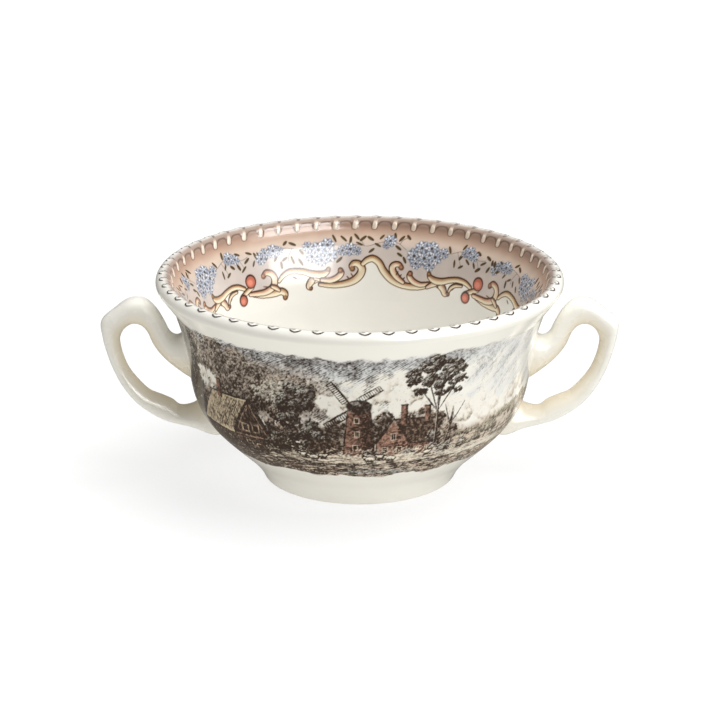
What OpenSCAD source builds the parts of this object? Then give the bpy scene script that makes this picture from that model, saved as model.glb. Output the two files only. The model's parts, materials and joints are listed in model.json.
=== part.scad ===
// Two-handled cream soup bowl in glazed earthenware: a footed round bowl with a flared, rolled
// lip, and two scrolled lug handles stuck to its sides with clay slip.
// Millimetres, +Z up, the foot stands on z = 0, the handles lie along X.

/* [Bowl] */
// Diameter over the rolled lip
rim_d = 125; // [112:1:138]
// Height from the table to the top of the lip
bowl_h = 65.3; // [60:0.5:72]
// Radius of the rolled lip's section
lip_roll_r = 2.4; // [1.9:0.1:2.8]
// Diameter at the neck, just under the flared lip
neck_d = 114.6; // [110.5:0.5:117]
// Height of the flared lip, from the neck up to its top
flange_h = 10.1; // [8.5:0.1:13]
// Diameter of the belly where the wall stands nearly upright
belly_d = 105.8; // [102:0.5:109]
// Height of the belly's upright point
belly_z = 37; // [34:0.5:40]
// Diameter at the knee, where the underside starts to round up
knee_d = 75.6; // [73:0.5:79]
// Height of the knee
knee_z = 10.1; // [9.4:0.1:11.5]
// Thickness of the wall
wall_t = 3.9; // [3:0.1:4.6]
// Thickness of the floor over the foot's seat
floor_t = 4.2; // [3:0.1:5]

/* [Foot] */
// Diameter of the foot at the table
foot_d = 60; // [56:0.5:63]
// Diameter of the seat between the foot and the bowl
seat_d = 67.6; // [66:0.2:70]
// Height of the foot ring, which is also the depth of the recess under the bowl
foot_h = 6.2; // [5.2:0.1:7]
// Width of the foot ring's bottom, rounded edges included
foot_w = 3.6; // [3:0.1:4.4]
// Radius of the foot ring's bottom edges
foot_round = 0.8; // [0.4:0.1:1.2]
// How much the recess narrows from the table up to the bowl
recess_draft = 1.4; // [0.4:0.1:2.4]

/* [Handles] */
// Distance over the two thumb spurs
handle_span = 160; // [150:1:172]
// Height of the lowest point of a handle, at its lower root
handle_z = 11; // [9.5:0.5:13]
// Height of a handle from its lower root to the top of its scroll
handle_h = 45.5; // [40:0.5:48]
// Width of a handle across its arm, seen from its side
handle_w = 7.4; // [6:0.2:9]
// Thickness of the clay slip that sticks a handle to the wall
slip_t = 0.4; // [0.3:0.05:0.8]
// How far the slip is squeezed out past a handle's root
slip_spread = 1.2; // [0.6:0.1:2]

/* [Hidden] */
glaze = "ivory";
slip_clay = "cornsilk";
round_fn = 96;
curve_steps = 8;
lip_steps = 20;
edge_steps = 4;

// Directions of the outline at its stations, in degrees up from level
foot_dir = 66;
seat_dir = 49;
knee_dir = 43;
belly_dir = 85;
neck_dir = 71;
flange_dir = 52;

// Shares of the straight run between two stations that set how full each curve is
soft_share = 0.34;
belly_full_share = 0.46;
floor_flat_share = 0.6;
inner_lip_share = 0.3;
inner_lip_angle = 172;

// A handle as two rails, its inner edge and its outer edge, in pairs from the upper root to the
// lower one. Each row holds the inner edge's reach and height, the outer edge's reach and height,
// and the half width. Reach runs from the belly to the spur, height from handle_z over handle_h,
// and half width in units of handle_w.
handle_rail_share = [
    [-0.22, 0.43, -0.18, 0.76, 0.78],
    [-0.04, 0.43, 0.03, 0.76, 0.76],
    [0.12, 0.49, 0.13, 0.735, 0.66],
    [0.29, 0.58, 0.21, 0.76, 0.56],
    [0.40, 0.67, 0.275, 0.84, 0.52],
    [0.465, 0.76, 0.36, 0.925, 0.54],
    [0.545, 0.808, 0.49, 0.995, 0.56],
    [0.645, 0.814, 0.665, 0.996, 0.55],
    [0.73, 0.78, 0.84, 0.925, 0.52],
    [0.773, 0.73, 0.985, 0.842, 0.50],
    [0.775, 0.68, 0.978, 0.735, 0.49],
    [0.745, 0.60, 0.935, 0.625, 0.48],
    [0.685, 0.51, 0.865, 0.50, 0.47],
    [0.59, 0.43, 0.75, 0.365, 0.47],
    [0.455, 0.348, 0.585, 0.245, 0.49],
    [0.31, 0.31, 0.38, 0.16, 0.52],
    [0.20, 0.279, 0.24, 0.122, 0.55],
    [0.11, 0.238, 0.11, 0.104, 0.58],
    [-0.01, 0.245, -0.07, 0.076, 0.64],
    [-0.115, 0.285, -0.30, 0.028, 0.76],
    [-0.26, 0.40, -0.50, 0.06, 0.80],
];
// Rings of the handle between two rows, corners of a ring, and the squareness of its oval
rings_per_row = 3;
ring_corners = 24;
oval_power = 2.3;
// The rows where the two roots meet the wall
upper_root = handle_rail_share[1];
lower_root = handle_rail_share[len(handle_rail_share) - 2];

rim_r = rim_d / 2;
neck_r = neck_d / 2;
belly_r = belly_d / 2;
knee_r = knee_d / 2;
seat_r = seat_d / 2;
foot_r = foot_d / 2;
reach = handle_span / 2;
floor_z = foot_h + floor_t;
lip_c = [rim_r - lip_roll_r, bowl_h - lip_roll_r];
neck_z = bowl_h - flange_h;
// The recess stays a foot's width inside the ring's outer face, at the table and at the seat
recess_r = foot_r - foot_w;
recess_top_r = min(recess_r, seat_r - foot_w) - recess_draft;

// A unit step at an angle, and its right-hand normal, which points out of the bowl
function step(a) = [cos(a), sin(a)];
function out_of(a) = [sin(a), -cos(a)];

// A point of a cubic curve through two ends and two handles
function bezier(p, t) =
    let (s = 1 - t)
    s * s * s * p[0] + 3 * s * s * t * p[1] + 3 * s * t * t * p[2] + t * t * t * p[3];
function bezier_dir(p, t) =
    let (s = 1 - t, v = s * s * (p[1] - p[0]) + 2 * s * t * (p[2] - p[1]) + t * t * (p[3] - p[2]))
    atan2(v[1], v[0]);
function curve(a, dir_a, b, dir_b, full) =
    let (l = full * norm(b - a))
    [a, a + l * step(dir_a), b - l * step(dir_b), b];
// Points of a curve, set back by a wall's thickness where one is given
function run(p, back = 0) =
    [for (i = [0 : curve_steps])
        let (t = i / curve_steps)
        bezier(p, t) - back * out_of(bezier_dir(p, t))];
function arc(c, r, from, to, steps) =
    [for (i = [0 : steps]) c + r * step(from + (to - from) * i / steps)];
function reversed(list) = [for (i = [len(list) - 1 : -1 : 0]) list[i]];
function but_first(list) = [for (i = [1 : len(list) - 1]) list[i]];
function but_ends(list) = [for (i = [1 : len(list) - 2]) list[i]];

seat_p = [seat_r, foot_h];
knee_p = [knee_r, knee_z];
belly_p = [belly_r, belly_z];
neck_p = [neck_r, neck_z];
under_curve = curve(seat_p, seat_dir, knee_p, knee_dir, soft_share);
belly_curve = curve(knee_p, knee_dir, belly_p, belly_dir, belly_full_share);
wall_curve = curve(belly_p, belly_dir, neck_p, neck_dir, soft_share);
lip_start = flange_dir - 90;
flange_curve = curve(neck_p, flange_dir, lip_c + lip_roll_r * step(lip_start), flange_dir, soft_share);

// The outside of the bowl from its seat to the lip, pushed out by a film such as the slip
function outside(film = 0) =
    concat(run(under_curve, -film), but_first(run(belly_curve, -film)), but_first(run(wall_curve, -film)));

// The inside from the lip down to the middle of the floor
inner_neck_p = neck_p - wall_t * out_of(neck_dir);
inner_lip_p = lip_c + lip_roll_r * step(inner_lip_angle);
inner_lip_curve = curve(inner_lip_p, inner_lip_angle + 90, inner_neck_p, neck_dir + 180, inner_lip_share);
inner_knee_p = knee_p - wall_t * out_of(knee_dir);
floor_edge_r = inner_knee_p[0] - (inner_knee_p[1] - floor_z) / tan(knee_dir);
floor_curve = [inner_knee_p, [floor_edge_r, floor_z], [floor_flat_share * floor_edge_r, floor_z], [0, floor_z]];

module bowl_body() {
    color(glaze)
        rotate_extrude($fn = round_fn)
            polygon(concat(
                [[0, foot_h]],
                outside(),
                but_first(run(flange_curve)),
                but_ends(arc(lip_c, lip_roll_r, lip_start, inner_lip_angle, lip_steps)),
                run(inner_lip_curve),
                but_first(reversed(run(wall_curve, wall_t))),
                but_first(reversed(run(belly_curve, wall_t))),
                but_first(run(floor_curve))));
}

// The foot ring flares up to the bowl's seat and has rounded edges at the table
module foot_ring() {
    outer_c = [foot_r - foot_round, foot_round];
    inner_c = [recess_r + foot_round, foot_round];
    outer_curve = curve(outer_c + foot_round * out_of(foot_dir), foot_dir, seat_p, seat_dir, soft_share);
    color(glaze)
        rotate_extrude($fn = round_fn)
            polygon(concat(
                arc(inner_c, foot_round, 180, 270, edge_steps),
                arc(outer_c, foot_round, -90, foot_dir - 90, edge_steps),
                but_first(run(outer_curve)),
                [[recess_top_r, foot_h]]));
}

// The bowl's outside as a solid body of revolution, with a film of slip on it if one is given
module bowl_shape(film) {
    rotate_extrude($fn = round_fn)
        polygon(concat([[0, foot_h]], outside(film), [[0, neck_z]]));
}

// A point between the rows of a table, on a smooth curve through them
function row(table, i) = table[min(max(i, 0), len(table) - 1)];
function smooth_row(table, u) =
    let (
        i = min(floor(u), len(table) - 2),
        t = u - i,
        a = row(table, i - 1), b = row(table, i), c = row(table, i + 1), d = row(table, i + 2))
    b + t * (c - a) / 2 + t * t * (a - 5 * b / 2 + 2 * c - d / 2) + t * t * t * (3 * (b - c) + d - a) / 2;
function power_of(v) = sign(v) * pow(abs(v), 2 / oval_power);
function rail_point(share_r, share_z) =
    [belly_r + share_r * (reach - belly_r), handle_z + share_z * handle_h];
function handle_ring(u) =
    let (
        s = smooth_row(handle_rail_share, u),
        inner = rail_point(s[0], s[1]),
        outer = rail_point(s[2], s[3]),
        middle = (inner + outer) / 2,
        half = (outer - inner) / 2)
    [for (k = [0 : ring_corners - 1])
        let (a = 360 * k / ring_corners, p = middle + half * power_of(cos(a)))
        [p[0], s[4] * handle_w * power_of(sin(a)), p[1]]];

// A closed skin over a stack of rings, with a fan of triangles on each end
module skin(rings) {
    n = len(rings[0]);
    last = (len(rings) - 1) * n;
    polyhedron(
        points = [for (r = rings) each r],
        faces = concat(
            [for (j = [0 : len(rings) - 2], k = [0 : n - 1])
                let (a = j * n + k, b = j * n + (k + 1) % n)
                each [[a, a + n, b], [b, a + n, b + n]]],
            [for (k = [1 : n - 2]) [0, k, k + 1]],
            [for (k = [1 : n - 2]) [last, last + k + 1, last + k]]));
}

// A scrolled lug handle on the +X side, its two roots cut to the wall with room for the slip
module handle() {
    color(glaze)
        difference() {
            skin([for (i = [0 : (len(handle_rail_share) - 1) * rings_per_row])
                handle_ring(i / rings_per_row)]);
            bowl_shape(slip_t);
        }
}

// An oval patch of slip, as wide as a root and the slip squeezed out round it
module slip_patch(root) {
    middle_z = handle_z + (root[1] + root[3]) / 2 * handle_h;
    half_z = (root[3] - root[1]) / 2 * handle_h;
    half_y = root[4] * handle_w + slip_spread;
    intersection() {
        difference() {
            bowl_shape(slip_t);
            bowl_shape(0);
        }
        translate([0, 0, middle_z])
            rotate([90, 0, 90])
                linear_extrude(height = reach)
                    polygon([for (k = [0 : ring_corners - 1])
                        let (a = 360 * k / ring_corners)
                        [half_y * cos(a), (abs(half_z) + slip_spread) * sin(a)]]);
    }
}

module handle_slip() {
    color(slip_clay) {
        slip_patch(upper_root);
        slip_patch(lower_root);
    }
}

module right_handle() {
    handle();
}

module left_handle() {
    mirror([1, 0, 0]) handle();
}

module right_handle_slip() {
    handle_slip();
}

module left_handle_slip() {
    mirror([1, 0, 0]) handle_slip();
}

bowl_body();
foot_ring();
left_handle();
right_handle();
left_handle_slip();
right_handle_slip();
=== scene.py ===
import json
import math

import bpy
import numpy as np
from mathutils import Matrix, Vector

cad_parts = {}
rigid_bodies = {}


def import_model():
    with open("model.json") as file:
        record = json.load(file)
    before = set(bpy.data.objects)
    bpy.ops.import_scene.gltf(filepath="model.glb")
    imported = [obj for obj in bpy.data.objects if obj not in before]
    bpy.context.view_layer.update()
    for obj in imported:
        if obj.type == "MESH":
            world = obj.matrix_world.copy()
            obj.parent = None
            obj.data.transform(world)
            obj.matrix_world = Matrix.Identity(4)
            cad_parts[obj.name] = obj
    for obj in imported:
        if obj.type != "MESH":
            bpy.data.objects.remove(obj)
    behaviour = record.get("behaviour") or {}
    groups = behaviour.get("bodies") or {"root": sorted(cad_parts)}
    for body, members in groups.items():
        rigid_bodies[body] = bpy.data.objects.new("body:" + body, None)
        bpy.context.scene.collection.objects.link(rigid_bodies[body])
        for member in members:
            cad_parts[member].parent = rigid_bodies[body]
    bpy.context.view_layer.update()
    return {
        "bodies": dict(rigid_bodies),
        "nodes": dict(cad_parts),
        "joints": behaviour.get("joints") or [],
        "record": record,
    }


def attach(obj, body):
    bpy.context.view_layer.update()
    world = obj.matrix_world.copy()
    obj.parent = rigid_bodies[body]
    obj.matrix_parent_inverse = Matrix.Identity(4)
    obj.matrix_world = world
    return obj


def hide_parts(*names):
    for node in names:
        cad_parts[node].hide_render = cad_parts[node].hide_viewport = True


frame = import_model()
scene = bpy.context.scene

# ---------------------------------------------------------------- camera
# A long lens a little above the rim, square to the two handles, as the bowl was photographed.
camera = bpy.data.objects.new("camera", bpy.data.cameras.new("camera"))
scene.collection.objects.link(camera)
scene.camera = camera
camera.data.sensor_width = 36
camera.data.lens = 145.03
camera.data.shift_x = 0.0004
camera.location = (0, -0.84943, 0.32841)
look_at = Vector((0, 0, 0.03633))
camera.rotation_euler = (look_at - camera.location).to_track_quat("-Z", "Y").to_euler()
camera.data.clip_start = 0.02
camera.data.clip_end = 50

# ---------------------------------------------------------------- table and light
# A white light table in a white room, one broad window to the front right of the bowl, and the
# brighter ceiling over it. The panes are what the glaze mirrors of the window.
# The table is white to the camera and keeps the soft shadow under the foot. What the glaze mirrors
# of the table and of the far side of the room is dimmer, so the dark print stays dark.
scene.view_settings.view_transform = "Standard"


def wire(tree, kind, **given):
    """A node with its settings and inputs given by name, or an input by its place, as in0. An input
    may be another node's output, and a whole node stands for its first output."""
    node = tree.nodes.new(kind)
    for name, value in given.items():
        if hasattr(node, name):
            setattr(node, name, value)
            continue
        by_place = name.startswith("in") and name[2:].isdigit()
        socket = node.inputs[int(name[2:]) if by_place else name.replace("_", " ")]
        if isinstance(value, bpy.types.Node):
            value = value.outputs[0]
        if isinstance(value, bpy.types.NodeSocket):
            tree.links.new(value, socket)
        else:
            socket.default_value = value
    return node


def solid(colour):
    """A colour as a socket takes it."""
    return tuple(colour) + (1,)


def new_material(name):
    """A material, its empty node tree, and the place on the object that is being shaded."""
    material = bpy.data.materials.new(name)
    material.use_nodes = True
    material.node_tree.nodes.clear()
    return material, material.node_tree, wire(material.node_tree, "ShaderNodeTexCoord").outputs["Object"]


def shining(tree, kind, colour, strength):
    return wire(tree, "ShaderNode" + kind, Color=solid(colour), Strength=strength)


def by_ray(tree, lighting, mirrored, seen):
    """One shader for the light that a thing gives, one for its mirror image, one for the camera."""
    ray = wire(tree, "ShaderNodeLightPath").outputs
    mixed = lighting
    for kind, shader in (("Is Glossy Ray", mirrored), ("Is Camera Ray", seen)):
        mixed = wire(tree, "ShaderNodeMixShader", in0=ray[kind], in1=mixed, in2=shader)
    return mixed


world = bpy.data.worlds.new("white_room")
scene.world = world
world.use_nodes = True
tree = world.node_tree
tree.nodes.clear()
room = shining(tree, "Background", (1.0, 0.985, 0.96), strength=0.26)
far_side = shining(tree, "Background", (1.0, 0.97, 0.93), strength=0.16)
white = shining(tree, "Background", (1, 1, 1), strength=1.0)
wire(tree, "ShaderNodeOutputWorld", Surface=by_ray(tree, room, far_side, white))

table_white, tree, place = new_material("table_white")
top = wire(tree, "ShaderNodeBsdfDiffuse", Color=(0.28, 0.28, 0.276, 1))
under = shining(tree, "Emission", (1, 0.985, 0.96), strength=0.88)
lit = wire(tree, "ShaderNodeAddShader", in0=top, in1=under)
mirrored = shining(tree, "Emission", (1, 0.92, 0.80), strength=0.18)
away = wire(tree, "ShaderNodeVectorMath", operation="LENGTH", in0=place).outputs["Value"]
paler = wire(tree, "ShaderNodeMapRange", Value=away, From_Min=0.25, From_Max=1.1, To_Min=0.77, To_Max=1.0)
grey = wire(tree, "ShaderNodeBsdfDiffuse", Color=(0.24, 0.24, 0.24, 1))
glow = shining(tree, "Emission", (1, 1, 1), paler)
shown = wire(tree, "ShaderNodeAddShader", in0=grey, in1=glow)
wire(tree, "ShaderNodeOutputMaterial", Surface=by_ray(tree, lit, mirrored, shown))

table_half = 6.0
table_corners = [(table_half * i, table_half * j, 0) for i, j in ((-1, -1), (1, -1), (1, 1), (-1, 1))]
table_mesh = bpy.data.meshes.new("table_top")
table_mesh.from_pydata(table_corners, [], [(0, 1, 2, 3)])
table_top = bpy.data.objects.new("table_top", table_mesh)
table_mesh.materials.append(table_white)
scene.collection.objects.link(table_top)


def softbox(name, azimuth, height, away, wide, tall, watts, lights=True, mirrored=False):
    """A lamp that faces the bowl. Azimuth turns from the front towards the right handle."""
    lamp = bpy.data.lights.new(name, "AREA")
    lamp.shape = "RECTANGLE"
    lamp.size, lamp.size_y, lamp.energy, lamp.color = wide, tall, watts, (1.0, 0.997, 1.0)
    held = bpy.data.objects.new(name, lamp)
    a, e = math.radians(azimuth), math.radians(height)
    bowl_middle, level = Vector((0, 0, 0.05)), away * math.cos(e)
    held.location = bowl_middle + Vector((level * math.sin(a), -level * math.cos(a), away * math.sin(e)))
    held.rotation_euler = (bowl_middle - held.location).to_track_quat("-Z", "Y").to_euler()
    held.visible_diffuse, held.visible_glossy = lights, mirrored
    scene.collection.objects.link(held)


softbox("window", azimuth=68, height=12, away=1.6, wide=1.20, tall=0.95, watts=8.4)
softbox("window_panes", azimuth=42, height=22, away=1.6, wide=1.35, tall=1.05, watts=34.0, lights=False,
    mirrored=True)
softbox("window_curtain", azimuth=44, height=23, away=1.7, wide=2.10, tall=1.60, watts=20.0, lights=False,
    mirrored=True)
softbox("window_spill", azimuth=75, height=55, away=1.7, wide=1.6, tall=1.2, watts=2.0)
softbox("ceiling", azimuth=84, height=74, away=1.9, wide=1.5, tall=1.5, watts=47.0)

# ---------------------------------------------------------------- the bowl's outside and its print
# The bowl is pressed in a mould from white-bodied earthenware, printed in dark brown under the
# glaze with a country view, touched in by hand with thin colours, and dipped in ivory glaze.
# Its surface is one outline turned round the middle. Millimetres until a mesh is made.
MM = 0.001
rim_r, rim_top, lip_roll = 62.5, 65.3, 2.4
neck_at, belly_at, knee_at, seat_at = (57.3, 55.2), (52.9, 37.0), (37.8, 10.1), (33.8, 6.2)
neck_dir, belly_dir, knee_dir, seat_dir, flange_dir = 71, 85, 43, 49, 52
soft_share, belly_full_share, floor_flat_share, inner_lip_share = 0.34, 0.46, 0.6, 0.3
inner_lip_angle = 172
wall_t, floor_z = 3.9, 10.4


def step(angle):
    """One mm in a direction, in degrees up from straight out."""
    a = np.radians(angle)
    return np.array([np.cos(a), np.sin(a)])


def unit(vectors):
    return vectors / np.linalg.norm(vectors, axis=-1, keepdims=True)


def cubic(p, t):
    """Places of a Bezier curve of four points."""
    s = 1 - t
    return s**3 * p[0] + 3 * s * s * t * p[1] + 3 * s * t * t * p[2] + t**3 * p[3]


def bezier(p, back=0.0, count=120):
    """Points of a Bezier curve, or of its parallel at a distance to its left."""
    t = np.linspace(0, 1, count + 1)[:, None]
    s = 1 - t
    along = unit(s * s * (p[1] - p[0]) + 2 * s * t * (p[2] - p[1]) + t * t * (p[3] - p[2]))
    return cubic(p, t) - back * np.stack([along[:, 1], -along[:, 0]], 1)


def bend(a, dir_a, b, dir_b, full, back=0.0, count=120):
    """Points of a curve between two places that leaves and arrives in given directions."""
    a, b = np.array(a, float), np.array(b, float)
    length = full * np.linalg.norm(b - a)
    return bezier([a, a + length * step(dir_a), b - length * step(dir_b), b], back, count)


def joined(*runs):
    return np.concatenate([runs[0]] + [r[1:] for r in runs[1:]])


def running(points):
    """How far along a line each of its points lies."""
    return np.concatenate([[0], np.cumsum(np.linalg.norm(np.diff(points, axis=0), axis=1))])


lip_middle = np.array([rim_r - lip_roll, rim_top - lip_roll])
lip_start = flange_dir - 90
lip_angles = np.radians(np.linspace(lip_start, inner_lip_angle, 160))
outside = joined(
    bend(seat_at, seat_dir, knee_at, knee_dir, soft_share),
    bend(knee_at, knee_dir, belly_at, belly_dir, belly_full_share),
    bend(belly_at, belly_dir, neck_at, neck_dir, soft_share),
    bend(neck_at, flange_dir, lip_middle + lip_roll * step(lip_start), flange_dir, soft_share),
)
lip = lip_middle + lip_roll * np.stack([np.cos(lip_angles), np.sin(lip_angles)], 1)
inner_neck = np.array(neck_at) + wall_t * step(neck_dir + 90)
inner_knee = np.array(knee_at) + wall_t * step(knee_dir + 90)
floor_edge = inner_knee[0] - (inner_knee[1] - floor_z) / math.tan(math.radians(knee_dir))
floor_pull = (floor_flat_share * floor_edge, floor_z)
inside = joined(
    bend(lip[-1], inner_lip_angle + 90, inner_neck, neck_dir + 180, inner_lip_share),
    bend(belly_at, belly_dir, neck_at, neck_dir, soft_share, wall_t)[::-1],
    bend(knee_at, knee_dir, belly_at, belly_dir, belly_full_share, wall_t)[::-1],
    bezier(np.array([inner_knee, (floor_edge, floor_z), floor_pull, (0, floor_z)])),
)
outline = joined(outside, lip, inside)
outline_run = running(outline)
lip_from, outline_end = outline_run[len(outside) - 1], outline_run[-1]


def on_outline(run):
    """Radius, height and outward normal of the bowl's surface at running places of its outline."""
    def at(place):
        return np.array([np.interp(place, outline_run, outline[:, k]) for k in (0, 1)])

    run = np.asarray(run, float)
    reach = 0.15
    dr, dz = at(np.minimum(run + reach, outline_end)) - at(np.maximum(run - reach, 0))
    size = np.hypot(dr, dz)
    return *at(run), dz / size, -dr / size


def skin(name, points, normals=None, colours=None, amounts=None, round_way=False, to_a_point=False):
    """A smooth mesh over a grid of points. Colours and amounts are kept for its material."""
    high, wide = points.shape[:2]
    count = wide if round_way else wide - 1
    j, i = np.meshgrid(np.arange(high - 1), np.arange(count), indexing="ij")
    after = (i + 1) % wide
    this, above = j * wide, (j + 1) * wide
    corners = np.stack([this + i, this + after, above + after, above + i], -1).reshape(-1, 4)
    pole = (high - 1) * wide
    vertices = pole + 1 if to_a_point else high * wide
    sides = np.full(len(corners), 4)
    kept = np.ones(corners.shape, bool)
    if to_a_point:
        sides[-count:], kept[-count:, 3] = 3, False
    mesh = bpy.data.meshes.new(name)
    mesh.vertices.add(vertices)
    mesh.vertices.foreach_set("co", (points.reshape(-1, 3)[:vertices] * MM).astype(np.float32).ravel())
    mesh.loops.add(int(sides.sum()))
    mesh.loops.foreach_set("vertex_index", np.minimum(corners[kept], vertices - 1).astype(np.int32))
    mesh.polygons.add(len(corners))
    mesh.polygons.foreach_set("loop_start", (np.cumsum(sides) - sides).astype(np.int32))
    mesh.update(calc_edges=True)
    mesh.polygons.foreach_set("use_smooth", np.ones(len(corners), bool))

    def store(layer, field, values):
        layer.data.foreach_set(field, values.astype(np.float32).ravel())

    map_edge = 0.004
    u, v = (np.linspace(map_edge, 1 - map_edge, number) for number in (count + 1, high))
    across, up = np.stack([i, i + 1, i + 1, i], -1), np.stack([j, j, j + 1, j + 1], -1)
    store(mesh.uv_layers.new(name="OFBake"), "uv", np.stack([u[across], v[up]], -1).reshape(-1, 4, 2)[kept])
    for key, value in (colours or {}).items():
        rgba = np.concatenate([value, np.ones(value.shape[:2] + (1,))], -1)
        store(mesh.color_attributes.new(key, "FLOAT_COLOR", "POINT"), "color", rgba)
    for key, value in (amounts or {}).items():
        store(mesh.attributes.new(key, "FLOAT", "POINT"), "value", value)
    if normals is not None:
        mesh.normals_split_custom_set_from_vertices(normals.reshape(-1, 3)[:vertices])
    made = bpy.data.objects.new(name, mesh)
    scene.collection.objects.link(made)
    return made


def turned(run, turns, raised=None):
    """The bowl's surface over running places and turns, in degrees from the front towards the right
    handle, and its normals. Raised lifts each point off the surface."""
    r, z, nr, nz = (v[:, None] for v in on_outline(run))
    a = np.radians(turns)[None, :]
    lift = 0.0 if raised is None else raised
    rr, zz = r + nr * lift, z + nz * lift + 0 * a
    points = np.stack([rr * np.sin(a), -rr * np.cos(a), zz], -1)
    flat = np.stack([nr * np.sin(a), -nr * np.cos(a), nz + 0 * a], -1)
    if raised is not None:
        flat = unit(np.cross(np.gradient(points, axis=1), np.gradient(points, axis=0)))
    return points, flat


glaze_ivory = np.array([0.872, 0.857, 0.790])
print_brown = (0.036, 0.021, 0.014)
columns = 1568
turn_share = 360 / columns


def soft_edge(inner, soft):
    """How far a shape covers places that lie a distance inside its edge, which is soft."""
    return np.clip(0.5 + inner / soft, 0, 1)


def rising(value, start, over):
    """0 up to a start, then evenly up to 1 over a width."""
    return np.clip((value - start) / over, 0, 1)


def falling(value, end, over):
    """Evenly down from 1 over a width, then 0 from its end on."""
    return np.clip((end - value) / over, 0, 1)


class Print:
    """A transfer print laid out flat: places in mm across and along the outline, how much ink lies
    there, and the thin colour under it."""

    def __init__(self, per_degree, heights):
        self.per_degree, self.pitch, self.heights = per_degree, per_degree * turn_share, heights
        self.ink = np.zeros((len(heights), columns))
        self.wash = np.ones((len(heights), columns, 3))

    def near(self, x, y, wide, high):
        i = np.arange(math.floor((x - wide) / self.pitch), math.ceil((x + wide) / self.pitch) + 1)
        j = np.arange(*np.searchsorted(self.heights, (y - high, y + high)))
        return np.ix_(j, i % columns), (i * self.pitch - x)[None, :], (self.heights[j] - y)[:, None]

    def lay(self, at, cover, ink=None, wash=None):
        if ink is not None:
            self.ink[at] += cover * (ink - self.ink[at])
        if wash is not None:
            self.wash[at] += cover[..., None] * (np.asarray(wash) - self.wash[at])

    def patches(self, size, seed):
        """Soft random patches between 0 and 1 over the whole print."""
        dice = np.random.default_rng(seed)
        tall = int((self.heights[-1] - self.heights[0]) / size) + 3
        wide = max(int(self.pitch * columns / size), 4)
        grid = dice.random((tall, wide))
        y = (self.heights - self.heights[0]) / size
        x = np.arange(columns) * wide / columns
        fy, fx = y % 1, x % 1
        fy, fx = (fy * fy * (3 - 2 * fy))[:, None], (fx * fx * (3 - 2 * fx))[None, :]
        j, i = y.astype(int)[:, None], x.astype(int)[None, :]
        k = (i + 1) % wide
        low, high = (grid[row, i] * (1 - fx) + grid[row, k] * fx for row in (j, j + 1))
        return low * (1 - fy) + high * fy

    def dash(self, x, y, angle, length, width, ink=None, wash=None, cover=1.0, soft=0.28):
        """One stroke of the graver, thin at both ends."""
        c, s = step(angle)
        half = length / 2
        at, dx, dy = self.near(x, y, half * abs(c) + width + soft, half * abs(s) + width + soft)
        t, p = (dx * c + dy * s) / half, -dx * s + dy * c
        slim = width / 2 * np.sqrt(np.clip(1 - t * t, 0, 1))
        self.lay(at, cover * soft_edge(slim - abs(p), soft) * (abs(t) < 1), ink, wash)

    def line(self, x1, y1, x2, y2, width, ink=0.95, over=1.06, cover=1.0):
        """A stroke from one place to another that runs a little over both."""
        turn, length = math.degrees(math.atan2(y2 - y1, x2 - x1)), math.hypot(x2 - x1, y2 - y1)
        self.dash((x1 + x2) / 2, (y1 + y2) / 2, turn, length * over, width, ink, cover=cover)

    def blot(self, x, y, rx, ry, ink=None, wash=None, cover=1.0, soft=0.3, angle=0.0):
        """An oval of ink or colour with a soft edge."""
        reach = max(rx, ry) + soft
        at, dx, dy = self.near(x, y, reach, reach)
        c, s = step(angle)
        d = np.hypot((dx * c + dy * s) / rx, (-dx * s + dy * c) / ry)
        self.lay(at, cover * soft_edge((1 - d) * min(rx, ry), soft), ink, wash)

    def field(self, corners, ink=None, wash=None, soft=0.25):
        """A flat shape with straight sides, its corners given against the clock."""
        corners = np.array(corners, float)
        low, high = corners.min(0), corners.max(0)
        middle = (high + low) / 2
        at, dx, dy = self.near(*middle, *((high - low) / 2 + soft))
        inner = np.full(np.broadcast(dx, dy).shape, np.inf)
        for a, b in zip(corners, np.roll(corners, -1, axis=0)):
            along = unit(b - a)
            inner = np.minimum(inner, along[0] * (dy + middle[1] - a[1]) - along[1] * (dx + middle[0] - a[0]))
        self.lay(at, soft_edge(inner, soft), ink, wash)


wall_foot_run, wall_rows = 8.0, 225
wall_run = np.linspace(wall_foot_run, lip_from, wall_rows)
ground_line = 11.4
view = Print(per_degree=0.9076, heights=wall_run - ground_line)
line, face = view.line, view.field
dice = np.random.default_rng(7)
sky_blue, hay, rose = (0.80, 0.83, 0.90), (0.80, 0.69, 0.54), (0.62, 0.37, 0.29)
earth, moss, water, slate = (0.78, 0.66, 0.57), (0.70, 0.64, 0.54), (0.60, 0.66, 0.69), (0.70, 0.68, 0.65)
sun_x, sun_y = -0.6, 0.8
whole = (-74, 74)


def scattered(count):
    """Random places in a circle of radius 1, and a random turn for each."""
    out, turn = dice.random(count) ** 0.5, dice.random(count) * 2 * math.pi
    return out * np.cos(turn), out * np.sin(turn), turn


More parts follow.
